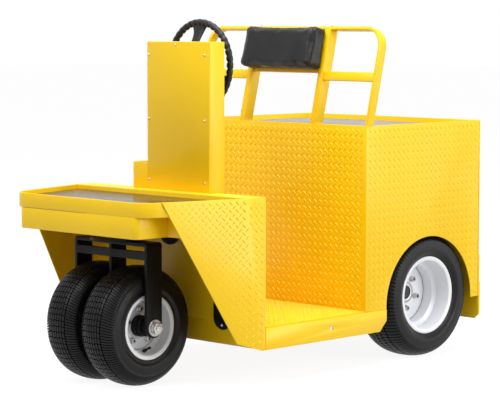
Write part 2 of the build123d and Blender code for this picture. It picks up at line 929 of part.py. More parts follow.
def rim_points(rim_half, flange_radius, seat_radius, well_radius, well_low, well_high):
    """Section of the barrel: flanges, bead seats and the drop centre between two places."""
    seat_low = well_low - well_slope
    seat_high = well_high + well_slope
    return (
        (-rim_half, flange_radius),
        (-rim_half + rim_wall, flange_radius),
        (-rim_half + rim_wall, seat_radius),
        (seat_low, seat_radius),
        (well_low, well_radius),
        (well_high, well_radius),
        (seat_high, seat_radius),
        (rim_half - rim_wall, seat_radius),
        (rim_half - rim_wall, flange_radius),
        (rim_half, flange_radius),
        (rim_half, seat_radius - rim_wall),
        (seat_high, seat_radius - rim_wall),
        (well_high, well_radius - rim_wall),
        (well_low, well_radius - rim_wall),
        (seat_low, seat_radius - rim_wall),
        (-rim_half, seat_radius - rim_wall),
    )


def lugs(disc_x, side, y, z, start):
    """Five wheel nuts on the disc's outer face."""
    with BuildSketch(facing_left(disc_x, y, z)) as nuts:
        with PolarLocations(lug_circle, lug_count, start_angle=start):
            RegularPolygon(lug_radius, 6)
    extrude(nuts.sketch, amount=side * lug_height)


def tyre(od, width, rim_half, seat_radius, flange_radius, centre):
    """Solid ring: bead, bulged walls, rounded shoulders and a crowned tread."""
    x, y, z = centre
    bead = rim_half - rim_wall - seat_gap
    bead_radius = seat_radius + seat_gap
    wall_foot = flange_radius + seat_gap
    wall_radius = (od / 2 + wall_foot) / 2
    rise = od / 2 - wall_radius
    shoulder = (width / 2 * shoulder_out, wall_radius + rise * shoulder_up)
    crown = (width / 2 * crown_out, wall_radius + rise * crown_up)
    with BuildSketch(Plane(origin=(x, y, z), x_dir=(1, 0, 0), z_dir=(0, 0, 1))) as profile:
        with BuildLine():
            Line((-bead, bead_radius), (bead, bead_radius))
            for side in (1, -1):
                Line((side * bead, bead_radius), (side * bead, wall_foot))
                ThreePointArc(
                    (side * bead, wall_foot),
                    (side * width / 2, wall_radius),
                    (side * shoulder[0], shoulder[1]),
                )
                Line((side * shoulder[0], shoulder[1]), (side * crown[0], crown[1]))
            ThreePointArc((-crown[0], crown[1]), (0, od / 2), crown)
        make_face()
    revolve(profile.sketch, axis=Axis((x, y, z), (1, 0, 0)))


front_rim_half = 70.0
front_flange = 109.0
front_seat = 98.0
front_well = 84.0
front_well_low = -18.0
front_well_high = 18.0
front_disc = 9.0
front_hub = 33.0
front_sleeve = 22.0
front_hub_gap = 0.5

with BuildPart() as front_rim:
    front_x = front_spacing / 2
    centre = (front_x, fork_y, front_axle_z)
    turned(
        rim_points(
            front_rim_half, front_flange, front_seat, front_well, front_well_low, front_well_high
        ),
        centre,
    )
    bore = axle_radius + seat_gap
    hub_in = bar / 2 + front_hub_gap - front_x
    hub_out = fork_half - bar - front_hub_gap - front_x
    turned(
        (
            (hub_in, bore),
            (hub_in, front_sleeve),
            (front_disc, front_sleeve),
            (front_disc, front_well - rim_wall / 2),
            (front_disc + disc_wall, front_well - rim_wall / 2),
            (front_disc + disc_wall, front_hub),
            (hub_out, front_hub),
            (hub_out, bore),
        ),
        centre,
    )
    lugs(front_x + front_disc + disc_wall, 1, fork_y, front_axle_z, front_lug_start)
save_pair(front_rim, "front_rim")

with BuildPart() as front_tyre:
    tyre(
        front_tyre_od,
        front_tyre_width,
        front_rim_half,
        front_seat,
        front_flange,
        centre,
    )
save_pair(front_tyre, "front_tyre")

rear_rim_half = 75.0
rear_flange = 139.0
rear_seat = 127.0
rear_well = 110.0
rear_well_low = -48.0
rear_well_high = 4.0
rear_disc = -37.0
rear_nose = 37.0
nose_stand = 7.0
drum_radius = 92.0
drum_gap = 4.0

rear_centre = (rear_x, rear_axle_y, rear_axle_z)
with BuildPart() as rear_rim:
    turned(
        rim_points(rear_rim_half, rear_flange, rear_seat, rear_well, rear_well_low, rear_well_high),
        rear_centre,
    )
    turned(
        (
            (rear_disc, rear_nose + seat_gap),
            (rear_disc, rear_well - rim_wall / 2),
            (rear_disc + disc_wall, rear_well - rim_wall / 2),
            (rear_disc + disc_wall, rear_nose + seat_gap),
        ),
        rear_centre,
    )
    lugs(rear_x + rear_disc + disc_wall, 1, rear_axle_y, rear_axle_z, rear_lug_start)
save_pair(rear_rim, "rear_rim")

with BuildPart() as rear_tyre:
    tyre(
        rear_tyre_od,
        rear_tyre_width,
        rear_rim_half,
        rear_seat,
        rear_flange,
        rear_centre,
    )
save_pair(rear_tyre, "rear_tyre")

with BuildPart() as rear_hub:
    drum_in = backing_x + backing_thick + drum_gap - rear_x
    bore_end = spindle_end + seat_gap - rear_x
    turned(
        (
            (drum_in, spindle_radius + pin_gap),
            (drum_in, drum_radius),
            (rear_disc, drum_radius),
            (rear_disc, rear_nose),
            (rear_disc + disc_wall + nose_stand, rear_nose),
            (rear_disc + disc_wall + nose_stand, 0),
            (bore_end, 0),
            (bore_end, spindle_radius + pin_gap),
        ),
        rear_centre,
    )
save_pair(rear_hub, "rear_hub")

# Steering wheel and shaft
ring_radius = 145.2
ring_tube = 12.0
wheel_gap = 75.4
hub_radius = 26.0
hub_thick = 24.0
spoke_width = 24.0
spoke_thick = 6.0
hub_clear = 6.0
spoke_angles = (90, 210, 330)

ring_y = tower_rear + wheel_gap
hub_front = tower_rear + bearing_thick + hub_clear
hub_middle = hub_front + hub_thick / 2
with BuildPart() as steering_wheel:
    with Locations(Location((0, ring_y, wheel_axis_z), (90, 0, 0))):
        Torus(ring_radius, ring_tube)
    with BuildSketch(facing_front(hub_front, 0, wheel_axis_z)):
        Circle(hub_radius)
        Circle(shaft_radius + seat_gap, mode=Mode.SUBTRACT)
    extrude(amount=-hub_thick)
    for angle in spoke_angles:
        out = Vector(cos(radians(angle)), 0, sin(radians(angle)))
        spoke_start = out * (hub_radius - spoke_thick / 2) + Vector(0, hub_middle, wheel_axis_z)
        spoke_end = out * ring_radius + Vector(0, ring_y, wheel_axis_z)
        across = out.cross(Vector(0, 1, 0))
        spoke_plane = Plane(origin=spoke_start, x_dir=across, z_dir=spoke_end - spoke_start)
        with BuildSketch(spoke_plane):
            Rectangle(spoke_width, spoke_thick)
        extrude(amount=(spoke_end - spoke_start).length)
save(steering_wheel, "steering_wheel")

cap_radius = 24.0
cap_thick = 8.0
with BuildPart() as steering_shaft:
    shaft_front = shell_front + sheet
    with BuildSketch(facing_front(hub_front + hub_thick, 0, wheel_axis_z)):
        Circle(shaft_radius)
    extrude(amount=hub_front + hub_thick - shaft_front)
    with BuildSketch(facing_front(hub_front + hub_thick + cap_thick, 0, wheel_axis_z)):
        Circle(cap_radius)
    extrude(amount=cap_thick)
save(steering_shaft, "steering_shaft")
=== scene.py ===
import json
import math

import bpy
import numpy as np
from mathutils import Matrix, Quaternion, Vector


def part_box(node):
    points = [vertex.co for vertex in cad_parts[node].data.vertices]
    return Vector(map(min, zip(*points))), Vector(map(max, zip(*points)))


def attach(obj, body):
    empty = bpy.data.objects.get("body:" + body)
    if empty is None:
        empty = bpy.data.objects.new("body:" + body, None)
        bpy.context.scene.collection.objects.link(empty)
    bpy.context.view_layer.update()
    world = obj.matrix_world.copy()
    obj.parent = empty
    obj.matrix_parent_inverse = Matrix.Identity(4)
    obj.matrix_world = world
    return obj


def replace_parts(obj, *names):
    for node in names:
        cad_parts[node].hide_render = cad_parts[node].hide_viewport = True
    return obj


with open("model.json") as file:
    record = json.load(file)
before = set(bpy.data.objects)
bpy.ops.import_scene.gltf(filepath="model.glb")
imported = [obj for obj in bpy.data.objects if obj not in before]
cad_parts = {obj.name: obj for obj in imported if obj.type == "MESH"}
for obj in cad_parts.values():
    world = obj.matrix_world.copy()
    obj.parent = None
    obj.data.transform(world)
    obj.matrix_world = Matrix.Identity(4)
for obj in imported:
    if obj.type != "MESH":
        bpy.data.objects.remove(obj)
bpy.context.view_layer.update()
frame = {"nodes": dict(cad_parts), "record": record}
BODY_OF = {n: b for b, members in frame["record"]["behaviour"]["bodies"].items() for n in members}
SLOT_OF = {s["node"]: s["material_slot"] for s in frame["record"]["subparts"]}
TURN = 2 * math.pi


# Camera and light
CAMERA_LENS = 147.8
CAMERA_PLACE = (5.073, -5.1786, 1.198)
CAMERA_TARGET = (-0.0005, -0.0156, 0.568)
CAMERA_ROLL = 0.07
SKY_LIGHT = 0.38
BACKDROP_WHITE = 1.0


def look_from(place, target, roll=0.0):
    back = (Vector(place) - Vector(target)).normalized()
    right = Vector((0, 0, 1)).cross(back).normalized()
    up = back.cross(right)
    turn = Matrix.Rotation(math.radians(roll), 3, back)
    right, up = turn @ right, turn @ up
    stand = Matrix((right, up, back)).transposed().to_4x4()
    stand.translation = Vector(place)
    return stand


camera_data = bpy.data.cameras.new("camera")
camera_data.lens = CAMERA_LENS
camera_data.sensor_width = 36.0
camera_data.clip_end = 100.0
camera = bpy.data.objects.new("camera", camera_data)
bpy.context.scene.collection.objects.link(camera)
camera.matrix_world = look_from(CAMERA_PLACE, CAMERA_TARGET, CAMERA_ROLL)
bpy.context.scene.camera = camera
bpy.context.scene.view_settings.view_transform = "Standard"


def softbox(name, place, target, size, power):
    data = bpy.data.lights.new(name, "AREA")
    data.shape = "RECTANGLE"
    data.size, data.size_y = size
    data.energy = power
    lamp = bpy.data.objects.new(name, data)
    bpy.context.scene.collection.objects.link(lamp)
    lamp.matrix_world = look_from(place, target)


softbox("overhead", (0.4, -0.6, 4.2), (0, 0, 0.5), (3.6, 4.2), 250)
softbox("side", (4.9, 1.5, 1.7), (0, -0.2, 0.5), (2.4, 2.8), 110)
softbox("sheen", (4.3, 4.5, 0.8), (0.3, 0.3, 0.5), (3.0, 2.4), 36)
softbox("front", (-1.0, -4.6, 3.8), (0, -0.2, 0.6), (2.6, 2.0), 66)


def sees_backdrop(tree):
    """1 for rays that see the plain pale backdrop: straight, mirrored or through glass."""
    path = tree.nodes.new("ShaderNodeLightPath")
    share = path.outputs["Is Camera Ray"]
    for kind in ("Is Glossy Ray", "Is Transmission Ray"):
        adder = tree.nodes.new("ShaderNodeMath")
        adder.operation = "ADD"
        adder.use_clamp = True
        tree.links.new(share, adder.inputs[0])
        tree.links.new(path.outputs[kind], adder.inputs[1])
        share = adder.outputs[0]
    return share


world = bpy.data.worlds.new("studio")
bpy.context.scene.world = world
world.use_nodes = True
sky = world.node_tree
sky.nodes.clear()
backdrop = sky.nodes.new("ShaderNodeMixShader")
sky.links.new(sees_backdrop(sky), backdrop.inputs[0])
for socket, strength in ((1, SKY_LIGHT), (2, BACKDROP_WHITE)):
    shade = sky.nodes.new("ShaderNodeBackground")
    shade.inputs["Color"].default_value = (1, 1, 1, 1)
    shade.inputs["Strength"].default_value = strength
    sky.links.new(shade.outputs[0], backdrop.inputs[socket])
sky_out = sky.nodes.new("ShaderNodeOutputWorld")
sky.links.new(backdrop.outputs[0], sky_out.inputs[0])


# Finishes
class Finish:
    """One procedural finish, read from the object's own coordinates."""

    def __init__(self, name):
        self.material = bpy.data.materials.new(name)
        self.material.use_nodes = True
        self.tree = self.material.node_tree
        self.tree.nodes.clear()
        self.out = self.add("ShaderNodeOutputMaterial")
        self.shader = self.add("ShaderNodeBsdfPrincipled")
        self.tree.links.new(self.shader.outputs[0], self.out.inputs[0])
        self.coords = self.add("ShaderNodeTexCoord").outputs["Object"]

    def add(self, kind):
        return self.tree.nodes.new(kind)

    def link(self, source, target):
        self.tree.links.new(source, target)

    def noise(self, scale, detail=2.0, rough=0.5, stretch=None):
        node = self.add("ShaderNodeTexNoise")
        node.inputs["Scale"].default_value = scale
        node.inputs["Detail"].default_value = detail
        node.inputs["Roughness"].default_value = rough
        self.link(self.place(stretch), node.inputs["Vector"])
        return node.outputs["Fac"]

    def voronoi(self, scale, feature="F1"):
        node = self.add("ShaderNodeTexVoronoi")
        node.feature = feature
        node.inputs["Scale"].default_value = scale
        self.link(self.coords, node.inputs["Vector"])
        return node.outputs["Distance"]

    def place(self, stretch):
        if stretch is None:
            return self.coords
        node = self.add("ShaderNodeMapping")
        node.inputs["Scale"].default_value = stretch
        self.link(self.coords, node.inputs["Vector"])
        return node.outputs[0]

    def span(self, value, low, high, to_low=0.0, to_high=1.0):
        node = self.add("ShaderNodeMapRange")
        limits = {"From Min": low, "From Max": high, "To Min": to_low, "To Max": to_high}
        for key, number in limits.items():
            node.inputs[key].default_value = number
        self.link(value, node.inputs["Value"])
        return node.outputs[0]

    def mix(self, share, a, b):
        node = self.add("ShaderNodeMix")
        node.data_type = "RGBA"
        node.inputs[6].default_value = (*a, 1)
        node.inputs[7].default_value = (*b, 1)
        self.link(share, node.inputs[0])
        return node.outputs[2]

    def bump(self, height, strength, distance, below=None):
        node = self.add("ShaderNodeBump")
        node.inputs["Strength"].default_value = strength
        node.inputs["Distance"].default_value = distance
        self.link(height, node.inputs["Height"])
        if below is not None:
            self.link(below, node.inputs["Normal"])
        return node.outputs[0]

    def finish(self, colour, rough, normal=None, **values):
        for value, key in ((colour, "Base Color"), (rough, "Roughness")):
            socket = self.shader.inputs[key]
            if isinstance(value, tuple):
                socket.default_value = (*value, 1)
            elif isinstance(value, float):
                socket.default_value = value
            else:
                self.link(value, socket)
        if normal is not None:
            self.link(normal, self.shader.inputs["Normal"])
        for key, value in values.items():
            self.shader.inputs[key.replace("_", " ")].default_value = value
        return self.material


def painted(name, deep, pale, low, high, coat, sheen=0.5):
    """Powder coat: faint colour drift, soft orange peel, dull patches."""
    n = Finish(name)
    drift = n.span(n.noise(3.0, 3.0), 0.35, 0.65)
    colour = n.mix(drift, deep, pale)
    patches = n.noise(22.0, 4.0, 0.6)
    peel = n.bump(n.noise(420.0, 1.0), 0.12, 0.0004)
    wave = n.bump(n.noise(9.0, 1.0), 0.03, 0.002, peel)
    return n.finish(
        colour,
        n.span(patches, 0.3, 0.7, low, high),
        wave,
        Coat_Weight=coat,
        Coat_Roughness=0.18,
        Specular_IOR_Level=sheen,
    )


def rubber(name, colour, dust, low, high, grain=900.0, sheen=0.25):
    """Dusty in slow patches, with a fine grain."""
    n = Finish(name)
    dusty = n.span(n.noise(9.0, 5.0, 0.65), 0.42, 0.75)
    tone = n.mix(dusty, colour, dust)
    rough = n.span(n.noise(60.0, 3.0), 0.3, 0.7, low, high)
    return n.finish(tone, rough, n.bump(n.noise(grain, 2.0), 0.25, 0.0004), Specular_IOR_Level=sheen)


def leather(name):
    """Grained vinyl: fine cells, slow creases and a soft gloss."""
    n = Finish(name)
    cells = n.voronoi(520.0, "SMOOTH_F1")
    grain = n.bump(cells, 0.22, 0.0005)
    crease = n.bump(n.noise(38.0, 4.0, 0.6, (1.0, 0.6, 2.2)), 0.14, 0.003, grain)
    rough = n.span(n.noise(25.0, 3.0), 0.3, 0.7, 0.27, 0.42)
    tone = n.mix(n.span(n.noise(12.0, 3.0), 0.4, 0.7), (0.006, 0.006, 0.007), (0.012, 0.012, 0.014))
    return n.finish(tone, rough, crease, Specular_IOR_Level=0.30)


def metal(name, colour, pale, low, high, grain=(1, 1, 1), metallic=1.0):
    """Bare metal, with a grain that may run one way."""
    n = Finish(name)
    tone = n.mix(n.span(n.noise(45.0, 4.0, 0.6), 0.35, 0.7), colour, pale)
    rough = n.span(n.noise(160.0, 3.0, 0.6, grain), 0.3, 0.7, low, high)
    brushed = n.bump(n.noise(700.0, 2.0, 0.5, grain), 0.15, 0.0003)
    return n.finish(tone, rough, brushed, Metallic=metallic)


def plastic(name, colour, pale, low, high):
    """Moulded plastic with a fine pitted grain."""
    n = Finish(name)
    tone = n.mix(n.span(n.noise(20.0, 3.0), 0.35, 0.7), colour, pale)
    rough = n.span(n.noise(90.0, 2.0), 0.3, 0.7, low, high)
    grain = n.bump(n.voronoi(600.0), 0.12, 0.0004)
    return n.finish(tone, rough, grain, Specular_IOR_Level=0.28)


YELLOW = ((0.88, 0.556, 0.002), (0.93, 0.594, 0.004))
BLACK = ((0.004, 0.004, 0.004), (0.007, 0.0065, 0.006))
WHITE = ((0.80, 0.815, 0.85), (0.84, 0.85, 0.88))
TYRE_BLACK = ((0.0035, 0.0035, 0.004), (0.010, 0.0095, 0.009))
MAT_BLACK = ((0.020, 0.019, 0.020), (0.045, 0.040, 0.038))
TRAY_GREY = ((0.016, 0.014, 0.012), (0.040, 0.034, 0.028))
DECK_GREY = ((0.22, 0.205, 0.195), (0.30, 0.28, 0.26))
PLASTIC_BLACK = ((0.006, 0.006, 0.007), (0.012, 0.012, 0.013))
ZINC_GREY = ((0.46, 0.46, 0.45), (0.66, 0.65, 0.62))
STEEL_GREY = ((0.50, 0.50, 0.50), (0.62, 0.62, 0.62))
IRON_GREY = ((0.035, 0.035, 0.037), (0.06, 0.06, 0.06))
MATERIALS = {
    "yellow_paint": painted("yellow_paint", *YELLOW, 0.30, 0.42, 0.15, 0.25),
    "tread_plate": painted("tread_plate", *YELLOW, 0.28, 0.40, 0.15, 0.25),
    "black_paint": painted("black_paint", *BLACK, 0.36, 0.50, 0.0, 0.14),
    "white_paint": painted("white_paint", *WHITE, 0.26, 0.38, 0.3),
    "tyre_rubber": rubber("tyre_rubber", *TYRE_BLACK, 0.30, 0.46, sheen=0.22),
    "mat_rubber": rubber("mat_rubber", *MAT_BLACK, 0.30, 0.42),
    "vinyl": leather("vinyl"),
    "black_plastic": plastic("black_plastic", *PLASTIC_BLACK, 0.30, 0.44),
    "steel": metal("steel", *STEEL_GREY, 0.24, 0.40, (1, 6, 1)),
    "zinc": metal("zinc", *ZINC_GREY, 0.26, 0.44),
    "cast_iron": metal("cast_iron", *IRON_GREY, 0.5, 0.7, metallic=0.4),
}
MATTING = {
    "tray_mat": rubber("tray_mat", *TRAY_GREY, 0.16, 0.26, 500.0),
    "deck_mat": rubber("deck_mat", *DECK_GREY, 0.35, 0.5, 500.0),
}


# Handling: each helper stands for a few moves that would be made by hand
SAME_POINT = 2e-6
FLAT = math.radians(0.4)
SHARP = math.radians(32)
PLATE_EDGE = 0.0012


def only(piece):
    """Leaves one piece selected and active."""
    bpy.ops.object.select_all(action="DESELECT")
    piece.select_set(True)
    bpy.context.view_layer.objects.active = piece
    return piece


def settled():
    """Puts the new primitive's place, turn and size into its mesh."""
    piece = only(bpy.context.active_object)
    bpy.ops.object.transform_apply(location=True, rotation=True, scale=True)
    return piece


def pick(piece, wanted, kind="VERT"):
    """Edit mode, with the points or faces selected that wanted agrees to."""
    only(piece)
    bpy.ops.object.mode_set(mode="EDIT")
    bpy.ops.mesh.select_mode(type=kind)
    bpy.ops.mesh.select_all(action="DESELECT")
    bpy.ops.object.mode_set(mode="OBJECT")
    for item in piece.data.vertices if kind == "VERT" else piece.data.polygons:
        item.select = bool(wanted(item))
    bpy.ops.object.mode_set(mode="EDIT")


def done():
    """Back to object mode."""
    bpy.ops.object.mode_set(mode="OBJECT")


def closed_up(piece):
    """Merges doubled points, fills open ends and turns every face outwards."""
    only(piece)
    bpy.ops.object.mode_set(mode="EDIT")
    bpy.ops.mesh.select_mode(type="VERT")
    bpy.ops.mesh.select_all(action="SELECT")
    bpy.ops.mesh.remove_doubles(threshold=SAME_POINT)
    bpy.ops.mesh.fill_holes(sides=0)
    bpy.ops.mesh.normals_make_consistent(inside=False)
    done()
    return piece


def drawn(place, along, rings, sides=32, turn=0.0):
    """A circle drawn out along its axis, wider or narrower at each (distance, radius)."""
    place, along = Vector(place), Vector(along).normalized()
    stand = along.to_track_quat("Z", "Y") @ Quaternion((0, 0, 1), turn)
    bpy.ops.object.select_all(action="DESELECT")
    bpy.ops.mesh.primitive_circle_add(
        vertices=sides,
        radius=rings[0][1],
        fill_type="NOTHING",
        location=place + along * rings[0][0],
        rotation=stand.to_euler(),
    )
    piece = settled()
    bpy.ops.object.mode_set(mode="EDIT")
    bpy.ops.mesh.select_all(action="SELECT")
    for (was, wide), (now, next_wide) in zip(rings, rings[1:]):
        bpy.ops.mesh.extrude_region_move(
            TRANSFORM_OT_translate={"value": along * (now - was), "orient_type": "GLOBAL"}
        )
        if abs(next_wide - wide) > 1e-7:
            share = next_wide / wide
            bpy.ops.transform.resize(value=(share, share, share), center_override=place + along * now)
    done()
    return closed_up(piece)


def block(place, size, edge=0.0, turn=(0, 0, 0)):
    """A box with eased edges."""
    bpy.ops.object.select_all(action="DESELECT")
    bpy.ops.mesh.primitive_cube_add(size=1, location=place, rotation=turn, scale=size)
    piece = settled()
    return eased(piece, edge) if edge else piece


def eased(piece, width, segments=2):
    """Rounds the sharp edges."""
    only(piece)
    bevel = piece.modifiers.new("edge", "BEVEL")
    bevel.width = width
    bevel.segments = segments
    bevel.limit_method = "ANGLE"
    bevel.angle_limit = SHARP
    bpy.ops.object.modifier_apply(modifier=bevel.name)
    return piece


def moved(model, matrix):
    """A copy with its own mesh, put where the matrix says."""
    twin = bpy.data.objects.new(model.name, model.data.copy())
    bpy.context.scene.collection.objects.link(twin)
    twin.data.transform(matrix)
    return twin


def put(model, place, along, turn=0.0):
    """A copy of a model that was made standing at the origin."""
    stand = Vector(along).to_track_quat("Z", "Y").to_matrix().to_4x4()
    return moved(model, Matrix.Translation(Vector(place)) @ stand @ Matrix.Rotation(turn, 4, "Z"))


def clear_away(*models):
    """Takes away models that only their copies were wanted of."""
    for model in models:
        bpy.data.objects.remove(model)


def finished(piece, name, body, slot, angle=32.0, material=None):
    """Names a piece, shades it and lets it ride on its body."""
    piece.name = piece.data.name = name
    only(piece)
    bpy.ops.object.shade_smooth_by_angle(angle=math.radians(angle))
    piece.data.materials.clear()
    piece.data.materials.append(material or MATERIALS[slot])
    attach(piece, body)
    return piece


def joined(pieces, name, body, slot, angle=32.0):
    """Makes several shapes one finished piece."""
    bpy.ops.object.select_all(action="DESELECT")
    for piece in pieces:
        piece.select_set(True)
    bpy.context.view_layer.objects.active = pieces[0]
    if len(pieces) > 1:
        bpy.ops.object.join()
    return finished(pieces[0], name, body, slot, angle)


def dressed(node, edge=PLATE_EDGE, segments=2, change=None, material=None):
    """A merged copy of a CAD node with eased edges, shown in the node's place."""
    piece = bpy.data.objects.new(f"{node}_skin", frame["nodes"][node].data.copy())
    bpy.context.scene.collection.objects.link(piece)
    only(piece)
    bpy.ops.object.mode_set(mode="EDIT")
    bpy.ops.mesh.select_all(action="SELECT")
    bpy.ops.mesh.remove_doubles(threshold=SAME_POINT)
    bpy.ops.mesh.dissolve_limited(angle_limit=FLAT, use_dissolve_boundaries=False)
    done()
    if change:
        change(piece)
    eased(piece, edge, segments)
    finished(piece, piece.name, BODY_OF[node], SLOT_OF[node], 40.0, material)
    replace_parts(piece, node)
    return piece


# Places read from the frame; y and z of the nose plate's fold and foot
SIDE_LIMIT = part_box("body_side_left")[1].x
LUG_RISE = 0.0016
FACE = SIDE_LIMIT - LUG_RISE
BOX_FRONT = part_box("body_front")[0].y
BOX_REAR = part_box("body_rear")[1].y
BOX_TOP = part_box("body_front")[1].z
FLOOR_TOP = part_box("floor_plate")[1].z
BULK_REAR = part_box("floor_plate")[0].y
TRAY_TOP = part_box("bulkhead")[1].z
SILL_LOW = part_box("sills")[0].z
KINK_TOP = BULK_REAR - 0.0835
KINK_LOW = KINK_TOP + 0.0475
WING_FRONT = KINK_TOP - 0.3025
FOOT = (KINK_LOW - 0.0765, SILL_LOW + 0.0308)
FOOT_END = (KINK_LOW + 0.0196, SILL_LOW)
BUMPER_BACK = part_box("rear_bumper")[1].y


# Sheet metal: the frame's own plates with rolled edges
def seat_sides(piece):
    """The plate's outer face sits one lug's height inside its tread."""
    for side in (1, -1):
        pick(piece, lambda v: v.co.x * side > SIDE_LIMIT - 0.0002)
        bpy.ops.transform.translate(value=(-side * LUG_RISE, 0, 0), orient_type="GLOBAL")
        done()


def cut_wing(piece):
    """Seats the face, then trims the leaning edge and the rising foot."""
    seat_sides(piece)
    for (y1, z1), (y2, z2) in (((WING_FRONT, TRAY_TOP), FOOT), (FOOT, FOOT_END)):
        only(piece)
        bpy.ops.object.mode_set(mode="EDIT")
        bpy.ops.mesh.select_all(action="SELECT")
        bpy.ops.mesh.bisect(
            plane_co=(0, y1, z1), plane_no=(0, z2 - z1, y1 - y2), use_fill=True, clear_outer=True
        )
        done()


for node in ("wing_left", "wing_right"):
    dressed(node, change=cut_wing)
for node in ("body_side_left", "body_side_right"):
    dressed(node, change=seat_sides)
for node in (
    "tray_rim", "tray_pan", "front_apron", "tray_crossbar", "bulkhead", "floor_plate", "body_front",
    "body_rear", "sills", "rear_bumper", "deck_plate", "tower_cover", "tower_shell", "side_pocket",
    "front_crossmember", "rails", "battery_tray", "backrest_hoop", "backrest_posts",
    "backrest_crossbars", "hitch", "kingpin_housing", "pedals", "switch_panel", "shaft_bearing",
    "access_cover", "tray_mat", "deck_mat",
):
    dressed(node, material=MATTING.get(node))
dressed("fork_yoke", edge=0.0016, segments=3)
HIDDEN = (
    "battery_pack", "drive_motor", "rear_axle", "steering_gear", "kingpin", "wheel_wells", "steering_shaft",
)
for node in HIDDEN:
    carried = frame["nodes"][node].data
    carried.materials.clear()
    carried.materials.append(MATERIALS[SLOT_OF[node]])


# Tread plate: raised lugs that cross each other's way
LUG_PITCH = 0.0127
LUG_HALF = 0.0102
LUG_FOOT = 0.0003
LUG_SLIM = 0.35
LUG_SIDES = 6
LUG_POINTS = 2 * LUG_SIDES


def inside(point, outline):
    """Whether a point lies within a flat outline."""
    x, y = point
    hit = False
    for (x1, y1), (x2, y2) in zip(outline, outline[1:] + outline[:1]):
        if (y1 > y) != (y2 > y) and x < (x2 - x1) * (y - y1) / (y2 - y1) + x1:
            hit = not hit
    return hit


def lug_pair():
    """Two lugs at right angles, a step apart each way."""
    lug = drawn((0, 0, 0), (0, 0, 1), [(-LUG_FOOT, LUG_HALF), (LUG_RISE, LUG_HALF * 0.66)], LUG_SIDES)
    pick(lug, lambda v: True)
    bpy.ops.transform.resize(value=(LUG_SLIM, 1, 1), center_override=(0, 0, 0))
    done()
    pick(lug, lambda v: v.co.z > 0)
    bpy.ops.transform.resize(value=(0.72, 1.08, 1), center_override=(0, 0, 0))
    done()
    lean = math.radians(45)
    first = moved(lug, Matrix.Rotation(-lean, 4, "Z"))
    other = moved(lug, Matrix.Translation((LUG_PITCH, LUG_PITCH, 0)) @ Matrix.Rotation(lean, 4, "Z"))
    clear_away(lug)
    bpy.ops.object.select_all(action="DESELECT")
    other.select_set(True)
    first.select_set(True)
    bpy.context.view_layer.objects.active = first
    bpy.ops.object.join()
    return first


LUGS = lug_pair()


def field(origin, u, v, outline, without=()):
    """Lugs repeated over an outline on a plane, with its circles and boxes kept bare."""
    u, v = Vector(u).normalized(), Vector(v).normalized()
    n = u.cross(v)
    step = 2 * LUG_PITCH
    low = [math.floor(min(p[k] for p in outline) / step) for k in (0, 1)]
    high = [math.ceil(max(p[k] for p in outline) / step) for k in (0, 1)]
    sheet = moved(LUGS, Matrix.Translation((low[0] * step, low[1] * step, 0)))
    only(sheet)
    for k in (0, 1):
        array = sheet.modifiers.new("rows", "ARRAY")
        array.use_relative_offset = False
        array.use_constant_offset = True
        array.constant_offset_displace = (step, 0, 0) if k == 0 else (0, step, 0)
        array.count = high[k] - low[k] + 1
        bpy.ops.object.modifier_apply(modifier=array.name)
    points = [p.co.copy() for p in sheet.data.vertices]
    kept = []
    for start in range(0, len(points), LUG_POINTS):
        lug = points[start:start + LUG_POINTS]
        keep = all(inside((p.x, p.y), outline) for p in lug)
        for bare in without:
            if len(bare) == 3:
                x, y, radius = bare
                keep = keep and all(math.hypot(p.x - x, p.y - y) > radius for p in lug)
            else:
                x1, x2, y1, y2 = bare
                keep = keep and not any(x1 < p.x < x2 and y1 < p.y < y2 for p in lug)
        kept.extend([keep] * LUG_POINTS)
    pick(sheet, lambda p: not kept[p.index])
    bpy.ops.mesh.delete(type="VERT")
    done()
    plane = Matrix((u, v, n)).transposed().to_4x4()
    plane.translation = Vector(origin)
    sheet.data.transform(plane)
    return sheet


def tread(name, *fields):
    """All the lugs of one plate as one piece."""
    joined([field(*each) for each in fields], name, "chassis", "tread_plate", 25.0)


def panel(x_low, x_high, low, high):
    return [(x_low, low), (x_high, low), (x_high, high), (x_low, high)]


ARCH_Y, ARCH_Z, ARCH_RADIUS = BOX_FRONT + 0.348, 0.204, 0.2375
NARROWING = math.tan(math.radians(15.5))
NOSE_LENGTH = KINK_TOP - WING_FRONT
EDGE_GAP = 0.004
for side, label in ((1, "left"), (-1, "right")):
    way = (0, side, 0)
    strip = [
        (side * y, z) for y, z in (
            (BULK_REAR, SILL_LOW), (BULK_REAR, TRAY_TOP), (KINK_TOP, TRAY_TOP), (KINK_LOW, SILL_LOW)
        )
    ]
    fold_top = Vector((side * FACE, KINK_TOP, TRAY_TOP))
    fold_low = Vector((side * FACE, KINK_LOW, SILL_LOW))
    front_top = Vector((side * (FACE - NOSE_LENGTH * NARROWING), WING_FRONT, TRAY_TOP))
    ahead = (front_top - fold_top).normalized()
    normal = (fold_low - fold_top).cross(ahead).normalized()
    if normal.x * side < 0:
        normal = -normal
    corners = [fold_top, front_top]
    for y, z in (FOOT, (KINK_LOW - 0.001, SILL_LOW + 0.0067)):
        x = fold_top.x - (normal.y * (y - fold_top.y) + normal.z * (z - TRAY_TOP)) / normal.x
        corners.append(Vector((x, y, z)))
    up = normal.cross(ahead)
    if up.z < 0:
        up = -up
    if ahead.cross(up).dot(normal) < 0:
        ahead = -ahead
    flat = [((p - fold_top).dot(ahead), (p - fold_top).dot(up)) for p in corners]
    face = (side * FACE, 0, 0)
    tread(f"tread_wing_{label}", (face, way, (0, 0, 1), strip), (fold_top, ahead, up, flat))
    sheet = panel(side * (BOX_FRONT + EDGE_GAP), side * (BOX_REAR - EDGE_GAP), FLOOR_TOP, BOX_TOP - 0.002)
    tread(f"tread_side_{label}", (face, way, (0, 0, 1), sheet, [(side * ARCH_Y, ARCH_Z, ARCH_RADIUS)]))

